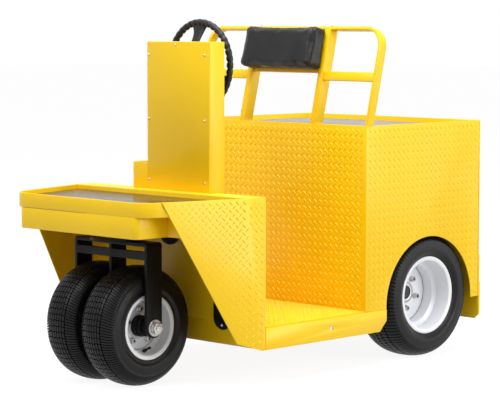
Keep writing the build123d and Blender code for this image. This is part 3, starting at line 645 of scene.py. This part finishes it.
WIDE = SIDE_LIMIT - EDGE_GAP
COWL_HALF = 0.415
tower_low, tower_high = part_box("tower_cover")[0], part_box("tower_shell")[1]
pocket_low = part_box("side_pocket")[0].x
tread("tread_front_wall", (
    (0, BOX_FRONT, 0), (1, 0, 0), (0, 0, 1), panel(-WIDE, WIDE, FLOOR_TOP + 0.002, BOX_TOP - 0.002),
))
tread("tread_rear_wall", (
    (0, BOX_REAR, 0), (-1, 0, 0), (0, 0, 1),
    panel(-WIDE, WIDE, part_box("rear_bumper")[1].z + EDGE_GAP, BOX_TOP - 0.002),
))
tread("tread_floor", (
    (0, 0, FLOOR_TOP), (1, 0, 0), (0, 1, 0), panel(-WIDE, WIDE, BULK_REAR + 0.003, BOX_FRONT - 0.003),
    [(-0.225, -0.005, BULK_REAR + 0.04, BULK_REAR + 0.15)],
))
tread(
    "tread_bulkhead",
    (
        (0, BULK_REAR, 0), (-1, 0, 0), (0, 0, 1),
        panel(-COWL_HALF, COWL_HALF, FLOOR_TOP + 0.003, TRAY_TOP - 0.003),
        [(-tower_high.x - EDGE_GAP, -tower_low.x + EDGE_GAP, TRAY_TOP - 0.08, TRAY_TOP)],
    ),
    (
        (0, 0, TRAY_TOP), (1, 0, 0), (0, 1, 0),
        panel(-COWL_HALF, COWL_HALF, KINK_TOP + 0.001, BULK_REAR - 0.001),
        [(pocket_low - 0.003, tower_high.x + 0.003, tower_low.y - 0.003, tower_high.y)],
    ),
)
clear_away(LUGS)


# Tyres: a drawn section, then grooves carved into it
CROWN_STEPS = 160
WALL_STEPS = 40
ROW_STEP = 0.006
GROOVE_SLOPE = 0.0007
SIDEWALL = (
    (0.08, -0.0016), (0.18, -0.0016), (0.26, 0.0), (0.42, 0.0), (0.50, 0.0016), (0.60, 0.0016), (0.68, 0.0),
    (0.78, -0.0022), (0.86, -0.0022), (0.93, 0.0), (1.0, 0.0),
)


def tyre_skin(od, width, bead, foot):
    """Half of the tyre's section from crown to bead, as distance along the skin, x and radius."""
    wall = (od / 2 + foot) / 2
    points = []
    for k in range(CROWN_STEPS + 1):
        t = math.pi / 2 * (1 - k / CROWN_STEPS)
        points.append((width / 2 * math.cos(t) ** 0.85, wall + (od / 2 - wall) * math.sin(t) ** 0.85))
    for k in range(1, WALL_STEPS + 1):
        t = math.pi / 2 * k / WALL_STEPS
        x = bead + (width / 2 - bead) * math.cos(t) ** 0.9
        points.append((x, wall - (wall - foot) * math.sin(t) ** 1.1))
    points = np.array(points)
    runs = np.concatenate([[0], np.cumsum(np.hypot(*np.diff(points, axis=0).T))])
    return runs, points[:, 0], points[:, 1]


def tyre(
    nodes, od, width, bead, foot, bore, grooves, ribs_end, pitches, parts, slots, depth, lean, stagger
):
    """Each pitch has so many columns: the first is a slot, and slots names those of the shoulder."""
    low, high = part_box(nodes[0])
    centre = (low + high) / 2
    runs, xs, rs = tyre_skin(od, width, bead, foot)
    end = runs[-1]
    marks = sorted({edge for groove in grooves for edge in groove})
    rows = [0.0]
    for mark in marks:
        if mark - rows[-1] > 0.009:
            rows.append((mark + rows[-1]) / 2)
        rows.append(mark)
    steps = int(round((ribs_end - rows[-1]) / ROW_STEP))
    rows += [rows[-1] + (ribs_end - rows[-1]) * k / steps for k in range(1, steps + 1)]
    half = [(s, 0.0) for s in rows]
    wall = end - ribs_end
    for share, swell in SIDEWALL:
        half.append((ribs_end + wall * share, swell))
    outer = []
    for s, swell in half:
        x, r = np.interp(s, runs, xs), np.interp(s, runs, rs)
        x2, r2 = np.interp(min(s + 0.001, end), runs, xs), np.interp(min(s + 0.001, end), runs, rs)
        x1, r1 = np.interp(max(s - 0.001, 0), runs, xs), np.interp(max(s - 0.001, 0), runs, rs)
        size = math.hypot(x2 - x1, r2 - r1)
        outer.append((x + (r1 - r2) / size * swell, r + (x2 - x1) / size * swell))
    rings = [(-x, r) for x, r in reversed(outer)] + outer[1:]
    places = [-s for s, _ in reversed(half)] + [s for s, _ in half[1:]]
    rings = [(-bead, bore)] + rings + [(bead, bore), (-bead, bore)]
    sides = pitches * parts
    piece = drawn(centre, (1, 0, 0), rings, sides)

    count = len(piece.data.polygons)
    middles = np.empty(count * 3)
    piece.data.polygons.foreach_get("center", middles)
    middles = middles.reshape(-1, 3) - np.array(centre)
    radius = np.hypot(middles[:, 1], middles[:, 2])
    ring_x = np.array([(a[0] + b[0]) / 2 for a, b in zip(rings[1:-2], rings[2:-2])])
    ring_r = np.array([(a[1] + b[1]) / 2 for a, b in zip(rings[1:-2], rings[2:-2])])
    ring_s = np.array([(a + b) / 2 for a, b in zip(places, places[1:])])
    near = np.argmin((middles[:, :1] - ring_x) ** 2 + (radius[:, None] - ring_r) ** 2, axis=1)
    along = np.abs(ring_s[near])
    start = piece.data.vertices[0].co - centre
    turn = (np.arctan2(middles[:, 2], middles[:, 1]) - math.atan2(start.z, start.y)) % TURN
    column = (turn / (TURN / sides)).astype(int) % parts
    outside = radius > foot + 0.004
    slot = (column == 0) | (np.isin(column, slots) & (along > marks[-1]))
    slot &= (along < ribs_end) & outside
    ring = np.zeros(count, bool)
    for groove in grooves:
        ring |= (along > groove[0]) & (along < groove[1]) & outside
    cut = slot | ring
    pick(piece, lambda face: cut[face.index], "FACE")
    bpy.ops.mesh.inset(thickness=GROOVE_SLOPE, depth=-depth, use_boundary=True, use_even_offset=True)
    done()

    edges = [(a + b) / 2 for a, b in grooves]
    cell = TURN / pitches
    for number, share in enumerate(stagger):
        low_x = np.interp(edges[number - 1], runs, xs) if number else -1.0
        high_x = np.interp(edges[number], runs, xs)
        pick(piece, lambda v: low_x < abs(v.co.x - centre.x) < high_x)
        bpy.ops.transform.rotate(value=cell * share, orient_axis="X", center_override=centre)
        done()
    wall_r = (od / 2 + foot) / 2
    for s in rows[rows.index(marks[-1]) + 1:]:
        x = np.interp(s, runs, xs) - 0.0005
        for side in (1, -1):
            def beyond(v):
                out_by = (v.co.x - centre.x) * side
                low_down = math.hypot(v.co.y - centre.y, v.co.z - centre.z) < wall_r
                return out_by > x or (out_by > 0 and low_down)

            pick(piece, beyond)
            bpy.ops.transform.rotate(value=-lean, orient_axis="X", center_override=centre)
            done()
    closed_up(piece)
    pieces = [piece]
    for node in nodes[1:]:
        low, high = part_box(node)
        pieces.append(moved(piece, Matrix.Translation((low + high) / 2 - centre)))
    for piece, node in zip(pieces, nodes):
        finished(piece, f"{node}_tread", BODY_OF[node], "tyre_rubber", 36.0)
        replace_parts(piece, node)


tyre(
    ("front_tyre_left", "front_tyre_right"), 0.400, 0.146, 0.0657, 0.1093, 0.0983,
    grooves=((0.0040, 0.0072), (0.0158, 0.0190), (0.0272, 0.0304), (0.0390, 0.0432)), ribs_end=0.088,
    pitches=64, parts=6, slots=(0, 3), depth=0.0068, lean=0.007, stagger=(0.10, 0.0, 0.12, 0.0),
)
tyre(
    ("rear_tyre_left", "rear_tyre_right"), 0.449, 0.176, 0.0707, 0.1393, 0.1273,
    grooves=((0.0100, 0.0145), (0.0360, 0.0405)), ribs_end=0.094,
    pitches=98, parts=4, slots=(0,), depth=0.0068, lean=0.005, stagger=(0.4, 0.0),
)


# Rims, hubs and the front axle
LUG_BOLTS = 5
BOLT_CIRCLE = 0.05715


def barrel(h, flange, seat, well, low, high, step=0.012, wall=0.004):
    """Closed section: curled flanges, bead seats and the drop centre."""
    return [
        (-h, flange - 0.003), (-h + 0.0008, flange - 0.0008), (-h + 0.0026, flange),
        (-h + wall, flange - 0.0015), (-h + wall, seat + 0.003), (-h + wall + 0.003, seat),
        (low - step, seat), (low, well), (high, well), (high + step, seat), (h - wall - 0.003, seat),
        (h - wall, seat + 0.003), (h - wall, flange - 0.0015), (h - 0.0026, flange),
        (h - 0.0008, flange - 0.0008), (h, flange - 0.003), (h, seat + 0.0035), (h - 0.0012, seat),
        (h - 0.0040, seat - wall + 0.0008), (h - 0.0075, seat - wall), (high + step + 0.002, seat - wall),
        (high + step - 0.002, seat - wall - 0.001), (high + 0.002, well - wall + 0.001),
        (high - 0.002, well - wall), (low + 0.002, well - wall), (low - 0.002, well - wall + 0.001),
        (low - step, seat - wall), (-h, seat - wall), (-h, flange - 0.003),
    ]


def pressed_disc(edge, hole):
    """A flat middle, a shallow rib and a turned edge that meets the barrel."""
    return [
        (-0.005, hole), (0.0, hole), (0.0, edge * 0.44), (0.0016, edge * 0.50), (0.0016, edge * 0.66),
        (0.0, edge * 0.72), (0.0, edge * 0.88), (-0.0012, edge * 0.93), (-0.0012, edge), (-0.005, edge),
        (-0.005, hole),
    ]


def polar(centre, x, radius, degrees):
    a = math.radians(degrees)
    return Vector((x, centre.y + radius * math.cos(a), centre.z + radius * math.sin(a)))


ORIGIN, UPRIGHT = (0, 0, 0), (0, 0, 1)
NUT = drawn(
    ORIGIN, UPRIGHT,
    [(0.0, 0.0112), (0.003, 0.0108), (0.004, 0.0098), (0.0135, 0.0098), (0.0150, 0.0086), (0.0150, 0.0062),
     (0.0100, 0.0056)], 6,
)
STUD = drawn(ORIGIN, UPRIGHT, [(0.0, 0.0064), (0.0110, 0.0060), (0.0122, 0.0050)], 16)
STEM = drawn(
    ORIGIN, UPRIGHT,
    [(0, 0.0072), (0.006, 0.0066), (0.016, 0.0046), (0.024, 0.0040), (0.025, 0.0048), (0.034, 0.0048),
     (0.036, 0.0036)], 16,
)


def rim(node, sizes, disc, hole, first_bolt, stem):
    """Barrel, disc with its seam, nuts, studs and valve; gives the wheel's centre and side."""
    side = 1 if node.endswith("left") else -1
    low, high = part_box(node.replace("rim", "tyre"))
    centre = (low + high) / 2
    out_way = Vector((side, 0, 0))
    body = BODY_OF[node]
    shell = drawn(centre, out_way, barrel(*sizes), 120)
    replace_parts(finished(shell, f"{node}_barrel", body, "white_paint", 30.0), node)
    well = sizes[3]
    face = drawn(centre + out_way * disc, out_way, pressed_disc(well - 0.0035, hole), 96)
    finished(face, f"{node}_disc", body, "white_paint", 25.0)
    seam = drawn(centre + out_way * (disc - 0.0014), out_way,
                 [(0, well - 0.0054), (0.0005, well - 0.0054), (0.0005, well - 0.0036), (0, well - 0.0036),
                  (0, well - 0.0054)], 96)
    finished(seam, f"{node}_seam", body, "cast_iron", 25.0)
    plane = centre.x + side * (disc + 0.0014)
    turn = 360 / LUG_BOLTS
    spots = [polar(centre, plane, BOLT_CIRCLE, first_bolt + turn * k) for k in range(LUG_BOLTS)]
    nuts = [put(NUT, at, out_way, 0.3 * k) for k, at in enumerate(spots)]
    joined(nuts, f"{node}_nuts", body, "zinc", 30.0)
    joined([put(STUD, at, out_way) for at in spots], f"{node}_studs", body, "cast_iron", 30.0)
    x, radius, degrees = stem
    at = polar(centre, centre.x + side * x, radius, degrees)
    inward = (Vector((at.x, centre.y, centre.z)) - at).normalized()
    piece = put(STEM, at - inward * 0.002, inward * 0.45 + out_way)
    finished(piece, f"{node}_valve", body, "black_plastic", 40.0)
    return centre, side


FRONT_RIM = (0.070, 0.109, 0.098, 0.084, -0.018, 0.018)
REAR_RIM = (0.075, 0.139, 0.127, 0.110, -0.048, 0.004)
for label in ("left", "right"):
    node = f"front_rim_{label}"
    stem = (0.030, 0.082, -84 if label == "left" else 40)
    centre, side = rim(node, FRONT_RIM, 0.014, 0.020, 90, stem)
    hub = drawn(
        centre, (side, 0, 0),
        [(-0.081, 0.0106), (-0.081, 0.0215), (0.012, 0.0215), (0.012, 0.0355), (0.0330, 0.0355),
         (0.0345, 0.0340), (0.0345, 0.0325), (0.0480, 0.0325), (0.0500, 0.0305), (0.0500, 0.0215),
         (0.0615, 0.0210), (0.0630, 0.0185), (0.0765, 0.0180), (0.0780, 0.0160), (0.0780, 0.0106),
         (-0.081, 0.0106)], 48,
    )
    finished(hub, f"front_hub_{label}", BODY_OF[node], "black_paint", 30.0)

    node = f"rear_rim_{label}"
    centre, side = rim(node, REAR_RIM, -0.032, 0.0375, -90, (0.012, 0.116, 178))
    node = f"rear_hub_{label}"
    low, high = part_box(node)
    nose, back = (high.x, low.x) if side > 0 else (-low.x, -high.x)
    axle_line = Vector((0, centre.y, centre.z))
    drum = drawn(
        axle_line, (side, 0, 0),
        [(back, 0.0182), (back, 0.090), (back + 0.002, 0.092), (0.2915, 0.092), (0.293, 0.0905),
         (0.293, 0.037), (nose - 0.0012, 0.037), (nose - 0.0004, 0.0362), (nose - 0.0004, 0.0225),
         (nose - 0.0030, 0.0212), (nose - 0.0030, 0.0195), (nose - 0.0012, 0.0185), (nose - 0.0006, 0.004)],
        64,
    )
    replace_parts(finished(drum, f"{node}_drum", BODY_OF[node], "cast_iron", 30.0), node)
    ring = drawn(
        axle_line + Vector((side * (nose - 0.0008), 0, 0)), (side, 0, 0),
        [(0, 0.0352), (0.0006, 0.0348), (0.0008, 0.0340), (0.0008, 0.0250), (0.0004, 0.0240), (0, 0.0238),
         (0, 0.0352)], 64,
    )
    finished(ring, f"rear_ring_{label}", BODY_OF[node], "steel", 30.0)
clear_away(NUT, STUD, STEM)

low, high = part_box("front_axle")
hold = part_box("fork_yoke")[1].x
axle_y, axle_z = (low.y + high.y) / 2, (low.z + high.z) / 2
axle = [drawn((-hold - 0.001, axle_y, axle_z), (1, 0, 0), [(0, 0.0099), (2 * hold + 0.002, 0.0099)], 32)]
for side in (1, -1):
    at, out_way = (side * hold, axle_y, axle_z), (side, 0, 0)
    axle.append(drawn(at, out_way, [(0, 0.0272), (0.0006, 0.0280), (0.0034, 0.0280), (0.0042, 0.0272)], 48))
    axle.append(drawn(at, out_way, [(0.0042, 0.0178), (0.0070, 0.0170)], 40))
    axle.append(drawn(at, out_way, [(0.0070, 0.0190), (0.0082, 0.0210), (0.0195, 0.0210), (0.0214, 0.0182),
                                    (0.0214, 0.0115), (0.0200, 0.0104)], 6, 0.35))
    thread = [(0.0200, 0.0100)]
    for k in range(5):
        thread += [(0.0212 + 0.0014 * k, 0.0100), (0.0219 + 0.0014 * k, 0.0090)]
    axle.append(drawn(at, out_way, thread + [(0.0288, 0.0094), (0.0298, 0.0078)], 32))
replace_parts(joined(axle, "front_axle_set", "fork", "zinc", 30.0), "front_axle")


# Steering wheel: a gripped ring, three dished spokes and a capped hub
GRIPS = 40
RING_THICK = 0.0118
CAD_RING_THICK = 0.012
SPOKE_STEPS = 18
HUB_REACH = 0.018
RING_REACH = 0.022
low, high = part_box("steering_wheel")
wheel_mid = Vector(((low.x + high.x) / 2, high.y - CAD_RING_THICK, (low.z + high.z) / 2))
ring_r = (high.z - low.z) / 2 - CAD_RING_THICK
hub_y = low.y + 0.012
bpy.ops.object.select_all(action="DESELECT")
bpy.ops.mesh.primitive_torus_add(
    major_segments=GRIPS * 8, minor_segments=18, major_radius=ring_r, minor_radius=RING_THICK,
    location=wheel_mid, rotation=(math.pi / 2, 0, 0),
)
ring = settled()


def grip_place(v):
    """How far round its grip a point is, from 0 at the crest to 0.5 in the valley."""
    share = math.atan2(v.co.z - wheel_mid.z, v.co.x - wheel_mid.x) / TURN * GRIPS
    return abs(share - round(share))


def from_axis(v):
    return math.hypot(v.co.x - wheel_mid.x, v.co.z - wheel_mid.z)


for reach, sink in ((0.20, 0.0004), (0.32, 0.0007), (0.44, 0.0008)):
    pick(ring, lambda v: grip_place(v) > reach)
    bpy.ops.transform.shrink_fatten(value=-sink)
    done()
    pick(ring, lambda v: grip_place(v) > reach and from_axis(v) < ring_r)
    bpy.ops.transform.shrink_fatten(value=-sink)
    done()
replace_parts(finished(ring, "steering_ring", "steering", "black_plastic", 60.0), "steering_wheel")

foot = Vector((wheel_mid.x, hub_y, wheel_mid.z + HUB_REACH))
bpy.ops.object.select_all(action="DESELECT")
bpy.ops.mesh.primitive_circle_add(vertices=16, radius=1, fill_type="NOTHING", location=foot)
bpy.context.active_object.scale = (0.026, 0.0062, 1)
spoke = settled()
bpy.ops.object.mode_set(mode="EDIT")
bpy.ops.mesh.select_all(action="SELECT")
at, reach, was = foot.copy(), ring_r - RING_REACH, 0.026
for k in range(1, SPOKE_STEPS + 1):
    t = k / SPOKE_STEPS
    step = Vector((0, (wheel_mid.y - hub_y) * (6 * t * (1 - t)) / SPOKE_STEPS, reach / SPOKE_STEPS))
    now = 0.021 + 0.005 * (1 - t) ** 3 + 0.024 * t ** 5 - 0.003 * math.sin(math.pi * t)
    at += step
    bpy.ops.mesh.extrude_region_move(TRANSFORM_OT_translate={"value": step, "orient_type": "GLOBAL"})
    bpy.ops.transform.resize(value=(now / was, 1, 1), center_override=at)
    was = now
done()
closed_up(spoke)
for number in range(3):
    turned_way = Matrix.Rotation(math.radians(120 * number), 4, "Y")
    twin = moved(spoke, Matrix.Translation(wheel_mid) @ turned_way @ Matrix.Translation(-wheel_mid))
    finished(twin, f"steering_spoke_{number}", "steering", "black_plastic", 45.0)
clear_away(spoke)
hub = drawn((wheel_mid.x, low.y + 0.001, wheel_mid.z), (0, 1, 0),
            [(0, 0.0130), (0, 0.0240), (0.002, 0.0258), (0.019, 0.0258), (0.0215, 0.0240), (0.0222, 0.0200),
             (0.0222, 0.0130), (0, 0.0130)], 48)
finished(hub, "steering_hub", "steering", "black_plastic", 35.0)


# Back cushion: blown up by a short cloth run, then creased and given its welt
LEAN = math.radians(13.4)
REST = Vector((0, BOX_FRONT + 0.005, BOX_TOP))
REST_UP = Vector((0, math.sin(LEAN), math.cos(LEAN)))
REST_OUT = Vector((0, -math.cos(LEAN), math.sin(LEAN)))
PAD_BACK = 0.0053
PAD_HALF, PAD_LOW, PAD_TOP = 0.1725, 0.1885, 0.3385
PAD_MIDDLE = (PAD_LOW + PAD_TOP) / 2
PAD_CORE = PAD_BACK + 0.030
PAD_WIDEST, PAD_DEEPEST = 0.1795, 0.0710
CLOTH_FRAMES = 20
LONGEST_MOVE = 0.006


def plain_copy(piece):
    """The piece's mesh with its modifiers worked in."""
    only(piece)
    for modifier in list(piece.modifiers):
        bpy.ops.object.modifier_apply(modifier=modifier.name)
    return piece


def squared(value, limit):
    """Draws what bulges past the limit back, so that the edge stays straight."""
    past = abs(value) - limit
    return math.copysign(limit + past * 0.25, value) if past > 0 else value


def sewn(d):
    """Squares a point given from the cushion's middle, then adds creases, welt and sag."""
    x = squared(d.x, 0.1670) * 1.034
    up = squared(d.dot(REST_UP), 0.0685) * 1.066 + PAD_MIDDLE
    proud = d.dot(REST_OUT) + PAD_CORE
    share = min(1.0, max(0.0, (up - PAD_LOW) / (PAD_TOP - PAD_LOW)))
    face = min(1.0, max(0.0, (proud - 0.030) / 0.025))
    edge = PAD_HALF - abs(x)
    one_side = 1.0 if x > 0 else 0.35
    crease = math.exp(-((edge - 0.016 - 0.0015 * math.sin(up * 60)) / 0.0032) ** 2)
    proud -= 0.0052 * crease * face * one_side * math.sin(math.pi * share) ** 0.5
    proud += 0.0026 * math.exp(-((edge - 0.005) / 0.006) ** 2) * face * one_side
    proud += 0.0006 * math.sin(up * 95 + 26 * x) * math.exp(-(edge / 0.05) ** 2) * face
    proud += 0.0035 * (1 - share) ** 2 * face
    up -= 0.0035 * math.exp(-(share / 0.18) ** 2) * (1 - (x / PAD_HALF) ** 2)
    x *= 1.0 + 0.020 * (1 - share)
    proud = min(max(proud, PAD_BACK), PAD_DEEPEST)
    across = min(max(x, -PAD_WIDEST), PAD_WIDEST)
    return REST + Vector((across, 0, 0)) + REST_UP * up + REST_OUT * proud


def cushion():
    pad = bpy.data.objects.new("backrest_pad", frame["nodes"]["backrest_cushion"].data.copy())
    bpy.context.scene.collection.objects.link(pad)
    closed_up(pad)
    middle = REST + REST_UP * PAD_MIDDLE + REST_OUT * PAD_CORE
    remesh = pad.modifiers.new("remesh", "REMESH")
    remesh.mode = "VOXEL"
    remesh.voxel_size = 0.0052
    plain_copy(pad)
    start = [v.co.copy() for v in pad.data.vertices]
    cloth = pad.modifiers.new("cloth", "CLOTH")
    cloth.settings.quality = 6
    cloth.settings.mass = 0.3
    cloth.settings.use_pressure = True
    cloth.settings.uniform_pressure_force = 4.0
    cloth.settings.effector_weights.gravity = 0
    cloth.settings.tension_stiffness = 12
    cloth.settings.compression_stiffness = 12
    cloth.settings.bending_stiffness = 0.6
    for number in range(1, CLOTH_FRAMES + 1):
        bpy.context.scene.frame_set(number)
    plain_copy(pad)
    bpy.context.scene.frame_set(1)
    for v, was in zip(pad.data.vertices, start):
        move = v.co - was
        if move.length > LONGEST_MOVE:
            v.co = was + move.normalized() * LONGEST_MOVE
    pick(pad, lambda v: True)
    bpy.ops.mesh.vertices_smooth(factor=0.5, repeat=4)
    done()
    for v in pad.data.vertices:
        v.co = sewn(v.co - middle)
    rounder = pad.modifiers.new("rounder", "SUBSURF")
    rounder.levels = rounder.render_levels = 1
    plain_copy(pad)
    finished(pad, "backrest_pad", "chassis", "vinyl", 80.0)
    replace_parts(pad, "backrest_cushion")


cushion()


# Horn with a ribbed face, on its strap
low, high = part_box("horn")
horn_mid = Vector(((low.x + high.x) / 2, low.y, (low.z + high.z) / 2))
HORN_RIBS = 36
horn = [drawn(
    horn_mid, (0, 1, 0),
    [(0.0004, 0.0060), (0.0004, 0.0115), (0.0030, 0.0135), (0.0045, 0.0200), (0.0060, 0.0330),
     (0.0090, 0.0455), (0.0100, 0.0488), (0.0190, 0.0488), (0.0210, 0.0465), (0.0280, 0.0380),
     (0.0390, 0.0245)], 56,
)]
horn_rib = block((0.0345, 0.0048, 0), (0.022, 0.006, 0.0024), 0.0007, turn=(0, 0, 0.12))
for k in range(HORN_RIBS):
    stand = Matrix.Translation(horn_mid) @ Matrix.Rotation(TURN * k / HORN_RIBS, 4, "Y")
    horn.append(moved(horn_rib, stand))
clear_away(horn_rib)
strap_y = (low.y + 0.036 + high.y - 0.0005) / 2
horn.append(block((horn_mid.x, strap_y, horn_mid.z), (0.026, high.y - 0.0365 - low.y, 0.003), 0.0008))
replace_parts(joined(horn, "horn_disc", "chassis", "black_plastic", 35.0), "horn")


# Small fasteners, knobs, pads and weld beads
SCREW = drawn(
    ORIGIN, UPRIGHT,
    [(0, 0.0042), (0.0010, 0.0040), (0.0022, 0.0029), (0.0026, 0.0018), (0.0017, 0.0015)], 14,
)
BOLT = drawn(ORIGIN, UPRIGHT, [(0, 0.0115), (0.0014, 0.0115), (0.0016, 0.0109), (0.0016, 0.0100)], 20)
HEAD = drawn(ORIGIN, UPRIGHT, [(0.0016, 0.0100), (0.0070, 0.0100), (0.0088, 0.0082)], 6)
joined([BOLT, HEAD], "bolt", "chassis", "zinc")


def sized(model, place, along, size, turn=0.0):
    """A copy of a model at another size."""
    piece = put(model, ORIGIN, along, turn)
    piece.data.transform(Matrix.Translation(Vector(place)) @ Matrix.Scale(size, 4))
    return piece


BACKWARDS = (0, 1, 0)
front_y, top_z = tower_low.y, tower_high.z
small = []
for x, drop in ((0.030, 0.011), (-0.1015, 0.044), (0.172, 0.044), (-0.1015, 0.263), (0.172, 0.263),
                (-0.1015, 0.472), (0.172, 0.472)):
    small.append(sized(SCREW, (x, front_y, top_z - drop), (0, -1, 0), 1.0))
low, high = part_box("shaft_bearing")
middle = (low + high) / 2
hitch_mid = (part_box("hitch")[0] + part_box("hitch")[1]) / 2
for a in (-1, 1):
    for b in (-1, 1):
        on_flange = (middle.x + a * 0.0265, high.y, middle.z + b * 0.0265)
        on_hitch = (a * 0.043, BUMPER_BACK + 0.012, hitch_mid.z + b * 0.047)
        small.append(sized(BOLT, on_flange, BACKWARDS, 0.68, 0.2))
        small.append(sized(BOLT, on_hitch, BACKWARDS, 0.85, 0.1))
for x in (-0.33, -0.12, 0.12, 0.33):
    small.append(sized(BOLT, (x, BUMPER_BACK, SILL_LOW + 0.030), BACKWARDS, 1.0, 0.4))
low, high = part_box("access_cover")
for b in (-1, 1):
    on_cover = ((low.x + high.x) / 2, low.y, (low.z + high.z) / 2 + b * 0.043)
    small.append(sized(SCREW, on_cover, (0, -1, 0), 1.2))
joined(small, "fasteners", "chassis", "zinc", 35.0)

bar_top = REST + REST_UP * (0.3405 / math.cos(LEAN)) - REST_OUT * 0.016
POST_X = 0.174
rest_bolts = [sized(BOLT, bar_top + Vector((x, 0, 0)), REST_UP, 0.5, 0.2) for x in (-POST_X, POST_X)]
joined(rest_bolts, "rest_bolts", "chassis", "black_plastic", 35.0)
clear_away(SCREW, BOLT)

low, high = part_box("switch_panel")
knob_x, knob_step = (low.x + high.x) / 2, (high.z - low.z) * 0.3
knobs = [
    drawn((knob_x, high.y, high.z - knob_step * 0.667), (0, 1, 0),
          [(0, 0.0110), (0.0016, 0.0104), (0.0020, 0.0060), (0.0060, 0.0052)], 32),
    drawn((knob_x, high.y, high.z - knob_step * 1.667), (0, 1, 0.25),
          [(0, 0.0062), (0.003, 0.0050), (0.016, 0.0042), (0.022, 0.0062), (0.026, 0.0050)], 20),
    drawn((knob_x, high.y, high.z - knob_step * 2.667), (0, 1, 0),
          [(0, 0.0118), (0.004, 0.0118), (0.0065, 0.0100), (0.0072, 0.0060)], 32),
]
joined(knobs, "panel_knobs", "chassis", "steel", 40.0)

PEDAL_TILT = math.radians(-38)
pad_rib = block((0, 0, 0), (0.062, 0.0068, 0.0026))
pick(pad_rib, lambda v: v.co.z > 0)
bpy.ops.transform.resize(value=(0.96, 0.62, 1), center_override=(0, 0, 0))
done()
ribs = []
for x in (-0.170, -0.060):
    for k in range(9):
        hinge = (x, BULK_REAR + 0.080, FLOOR_TOP)
        stand = Matrix.Translation(hinge) @ Matrix.Rotation(PEDAL_TILT, 4, "X")
        ribs.append(moved(pad_rib, stand @ Matrix.Translation((0, -0.077 + 0.012 * k, 0.0388))))
clear_away(pad_rib)
joined(ribs, "pedal_ribs", "chassis", "mat_rubber", 25.0)


def weld(start, end, radius, seed=3):
    """A rippled bead from one point to another."""
    start, end = Vector(start), Vector(end)
    length = (end - start).length
    count = max(6, int(length / 0.004) * 2)
    rings = []
    for k in range(count + 1):
        swell = radius * (0.86 + 0.14 * (k % 2) + 0.06 * math.sin(seed + 1.7 * k))
        rings.append((length * k / count, swell * (0.5 if k in (0, count) else 1.0)))
    return drawn(start, end - start, rings, 8)


welds = []
corner_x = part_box("side_pocket")[1].x + 0.0004
for k in range(3):
    z = TRAY_TOP + 0.012 + 0.030 * k
    welds.append(weld((corner_x, front_y + 0.0012, z), (corner_x, front_y + 0.0012, z + 0.016), 0.0021))
for x in (-POST_X, POST_X):
    for s in (-1, 1):
        foot = REST + Vector((x + s * 0.0122, 0, 0.0012))
        welds.append(weld(foot, foot + Vector((0, 0.034, 0)), 0.0022, seed=5 + s))
apron_low, apron_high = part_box("front_apron")
for s in (-1, 1):
    x = s * 0.2939
    z = apron_high.z - 0.0005
    welds.append(weld((x, apron_high.y - 0.1, z), (x, apron_high.y - 0.006, z), 0.0018))
joined(welds, "weld_beads", "chassis", "yellow_paint", 60.0)

# Painted shadow: a thin dark strip, proud of the apron's face and tapered at both ends, stands for the
# shadow line where the tray's lip meets the apron
seam_shadow_x = (apron_low.x + 0.028, 0.050)
seam_shadow_mid = ((seam_shadow_x[0] + seam_shadow_x[1]) / 2, apron_low.y + 0.0001, apron_high.z - 0.0003)
seam = block(seam_shadow_mid, (seam_shadow_x[1] - seam_shadow_x[0], 0.0008, 0.0020), turn=(0, math.radians(0.12), 0))
for end_x in seam_shadow_x:
    pick(seam, lambda v: abs(v.co.x - end_x) < 0.002)
    bpy.ops.transform.resize(value=(1, 1, 0.2), center_override=(end_x, apron_low.y, apron_high.z - 0.0003))
    done()
finished(seam, "apron_seam", "chassis", "cast_iron", 60.0)


# Floor: plain white to look at and in gloss, plain grey to the light, with the shadow kept
FLOOR_GREY = (0.42, 0.42, 0.42)
FLOOR_GLOW = (0.91, 0.91, 0.91, 1)
FLOOR_SHADE = (0.20, 0.20, 0.20, 1)
bpy.ops.object.select_all(action="DESELECT")
bpy.ops.mesh.primitive_plane_add(size=80, location=ORIGIN)
floor = settled()
floor.name = floor.data.name = "floor"
paving = Finish("floor")
floor.data.materials.append(paving.finish(FLOOR_GREY, 0.8))
glow = paving.add("ShaderNodeEmission")
glow.inputs["Color"].default_value = FLOOR_GLOW
matt = paving.add("ShaderNodeBsdfDiffuse")
matt.inputs["Color"].default_value = FLOOR_SHADE
both = paving.add("ShaderNodeAddShader")
choice = paving.add("ShaderNodeMixShader")
paving.link(glow.outputs[0], both.inputs[0])
paving.link(matt.outputs[0], both.inputs[1])
paving.link(sees_backdrop(paving.tree), choice.inputs[0])
paving.link(paving.shader.outputs[0], choice.inputs[1])
paving.link(both.outputs[0], choice.inputs[2])
paving.link(choice.outputs[0], paving.out.inputs[0])
